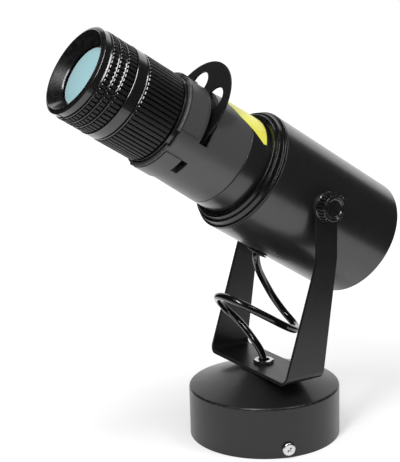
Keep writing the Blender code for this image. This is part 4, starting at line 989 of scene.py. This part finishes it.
def swept(profile, start, end, steps=48):
    """Open strip of (distance, height) points swept round the object between two bearings from the front."""
    bm = bmesh.new()
    points = [bm.verts.new((r * sin(start), -r * cos(start), z)) for r, z in profile]
    edges = [bm.edges.new(pair) for pair in zip(points, points[1:])]
    bmesh.ops.spin(bm, geom=points + edges, axis=(0, 0, 1), cent=(0, 0, 0), angle=end - start, steps=steps)
    return bm


def make_flags():
    """Dark studio behind and beside the camera, in front of the object and overhead; the rest stays white."""
    material, tree, shader = blank("flag_cloth", (0.02, 0.02, 0.02), 1.0)
    shader.inputs["Specular IOR Level"].default_value = 0
    wall = arc(0, 0, 2.2, 0, pi / 2, 15)
    flag("camera_side_flag", swept([(0.31, 0.002)] + wall, radians(-82), radians(194)), material)
    roof = arc(0, 0, 2.25, radians(50), pi / 2, 8)
    flag("far_side_flag", swept(roof, radians(194), radians(278)), material)


def lamp(name, place, aim, size, watts):
    """Soft box at a place, aimed at another; size is its width and height in metres."""
    data = bpy.data.lights.new(name, "AREA")
    data.shape = "RECTANGLE"
    data.size, data.size_y = size
    data.energy = watts
    light = bpy.data.objects.new(name, data)
    bpy.context.scene.collection.objects.link(light)
    way = Vector(aim) - Vector(place)
    light.matrix_world = Matrix.Translation(place) @ way.to_track_quat("-Z", "Y").to_matrix().to_4x4()


def bearing(azimuth, elevation, distance, height=0.15):
    """Place at a bearing from the front towards +X, a rise and a distance in metres, from a height."""
    azimuth, elevation = radians(azimuth), radians(elevation)
    return (distance * sin(azimuth) * cos(elevation), -distance * cos(azimuth) * cos(elevation),
            height + distance * sin(elevation))


def make_lights():
    """White surroundings, a tall strip for the long highlights and a soft box from the other side."""
    world = bpy.data.worlds.new("studio")
    bpy.context.scene.world = world
    world.use_nodes = True
    back = world.node_tree.nodes["Background"]
    back.inputs["Color"].default_value = (1, 1, 1, 1)
    world.node_tree.links.new(seen(world.node_tree, 0.55), back.inputs["Strength"])
    world.cycles.sampling_method = "NONE"
    middle = (0, -0.02, 0.15)
    lamp("tall_box", bearing(33, 54, 1.2), middle, (0.17, 1.05), 8)
    lamp("key_box", bearing(125, 60, 1.3), middle, (0.34, 0.34), 2.4)
    bpy.context.scene.view_settings.view_transform = "Standard"


def make_all():
    """Camera and cord first, then the object from the canopy up, then the studio."""
    make_camera()
    coat, satin = powder_coat(), satin_paint()
    grey, black = grey_nylon(), black_nylon()
    steel, glass, rubber, matt = bright_steel(), coated_glass(), soft_rubber(), rib_nylon()
    make_cord(cord_rubber())
    make_canopy(coat)
    make_canopy_screws(steel)
    make_bolt(steel)
    make_yoke(coat)
    for side, label in ((1, "right"), (-1, "left")):
        make_knob(side, label, black)
    make_housing(satin)
    make_front_cap(gloss_paint())
    make_neck(satin)
    make_grommet(rubber)
    make_rear_cover(matt)
    make_barrel(grey)
    make_gobo_wheel(blackened_steel())
    make_sticker(yellow_film())
    make_zoom_ring(black, matt)
    make_focus_ring(black, matt)
    make_hood(hood_black())
    make_front_glass(glass)
    make_guide_sleeve(black)
    make_lens_cell(black)
    make_spacers(rubber)
    finish_kept_nodes({"zinc": zinc_steel(), "white": white_plastic(), "aluminium": bare_aluminium(),
                       "phosphor": phosphor(), "steel": steel, "glass": glass, "black": black})
    make_floor()
    make_flags()
    make_lights()


make_all()
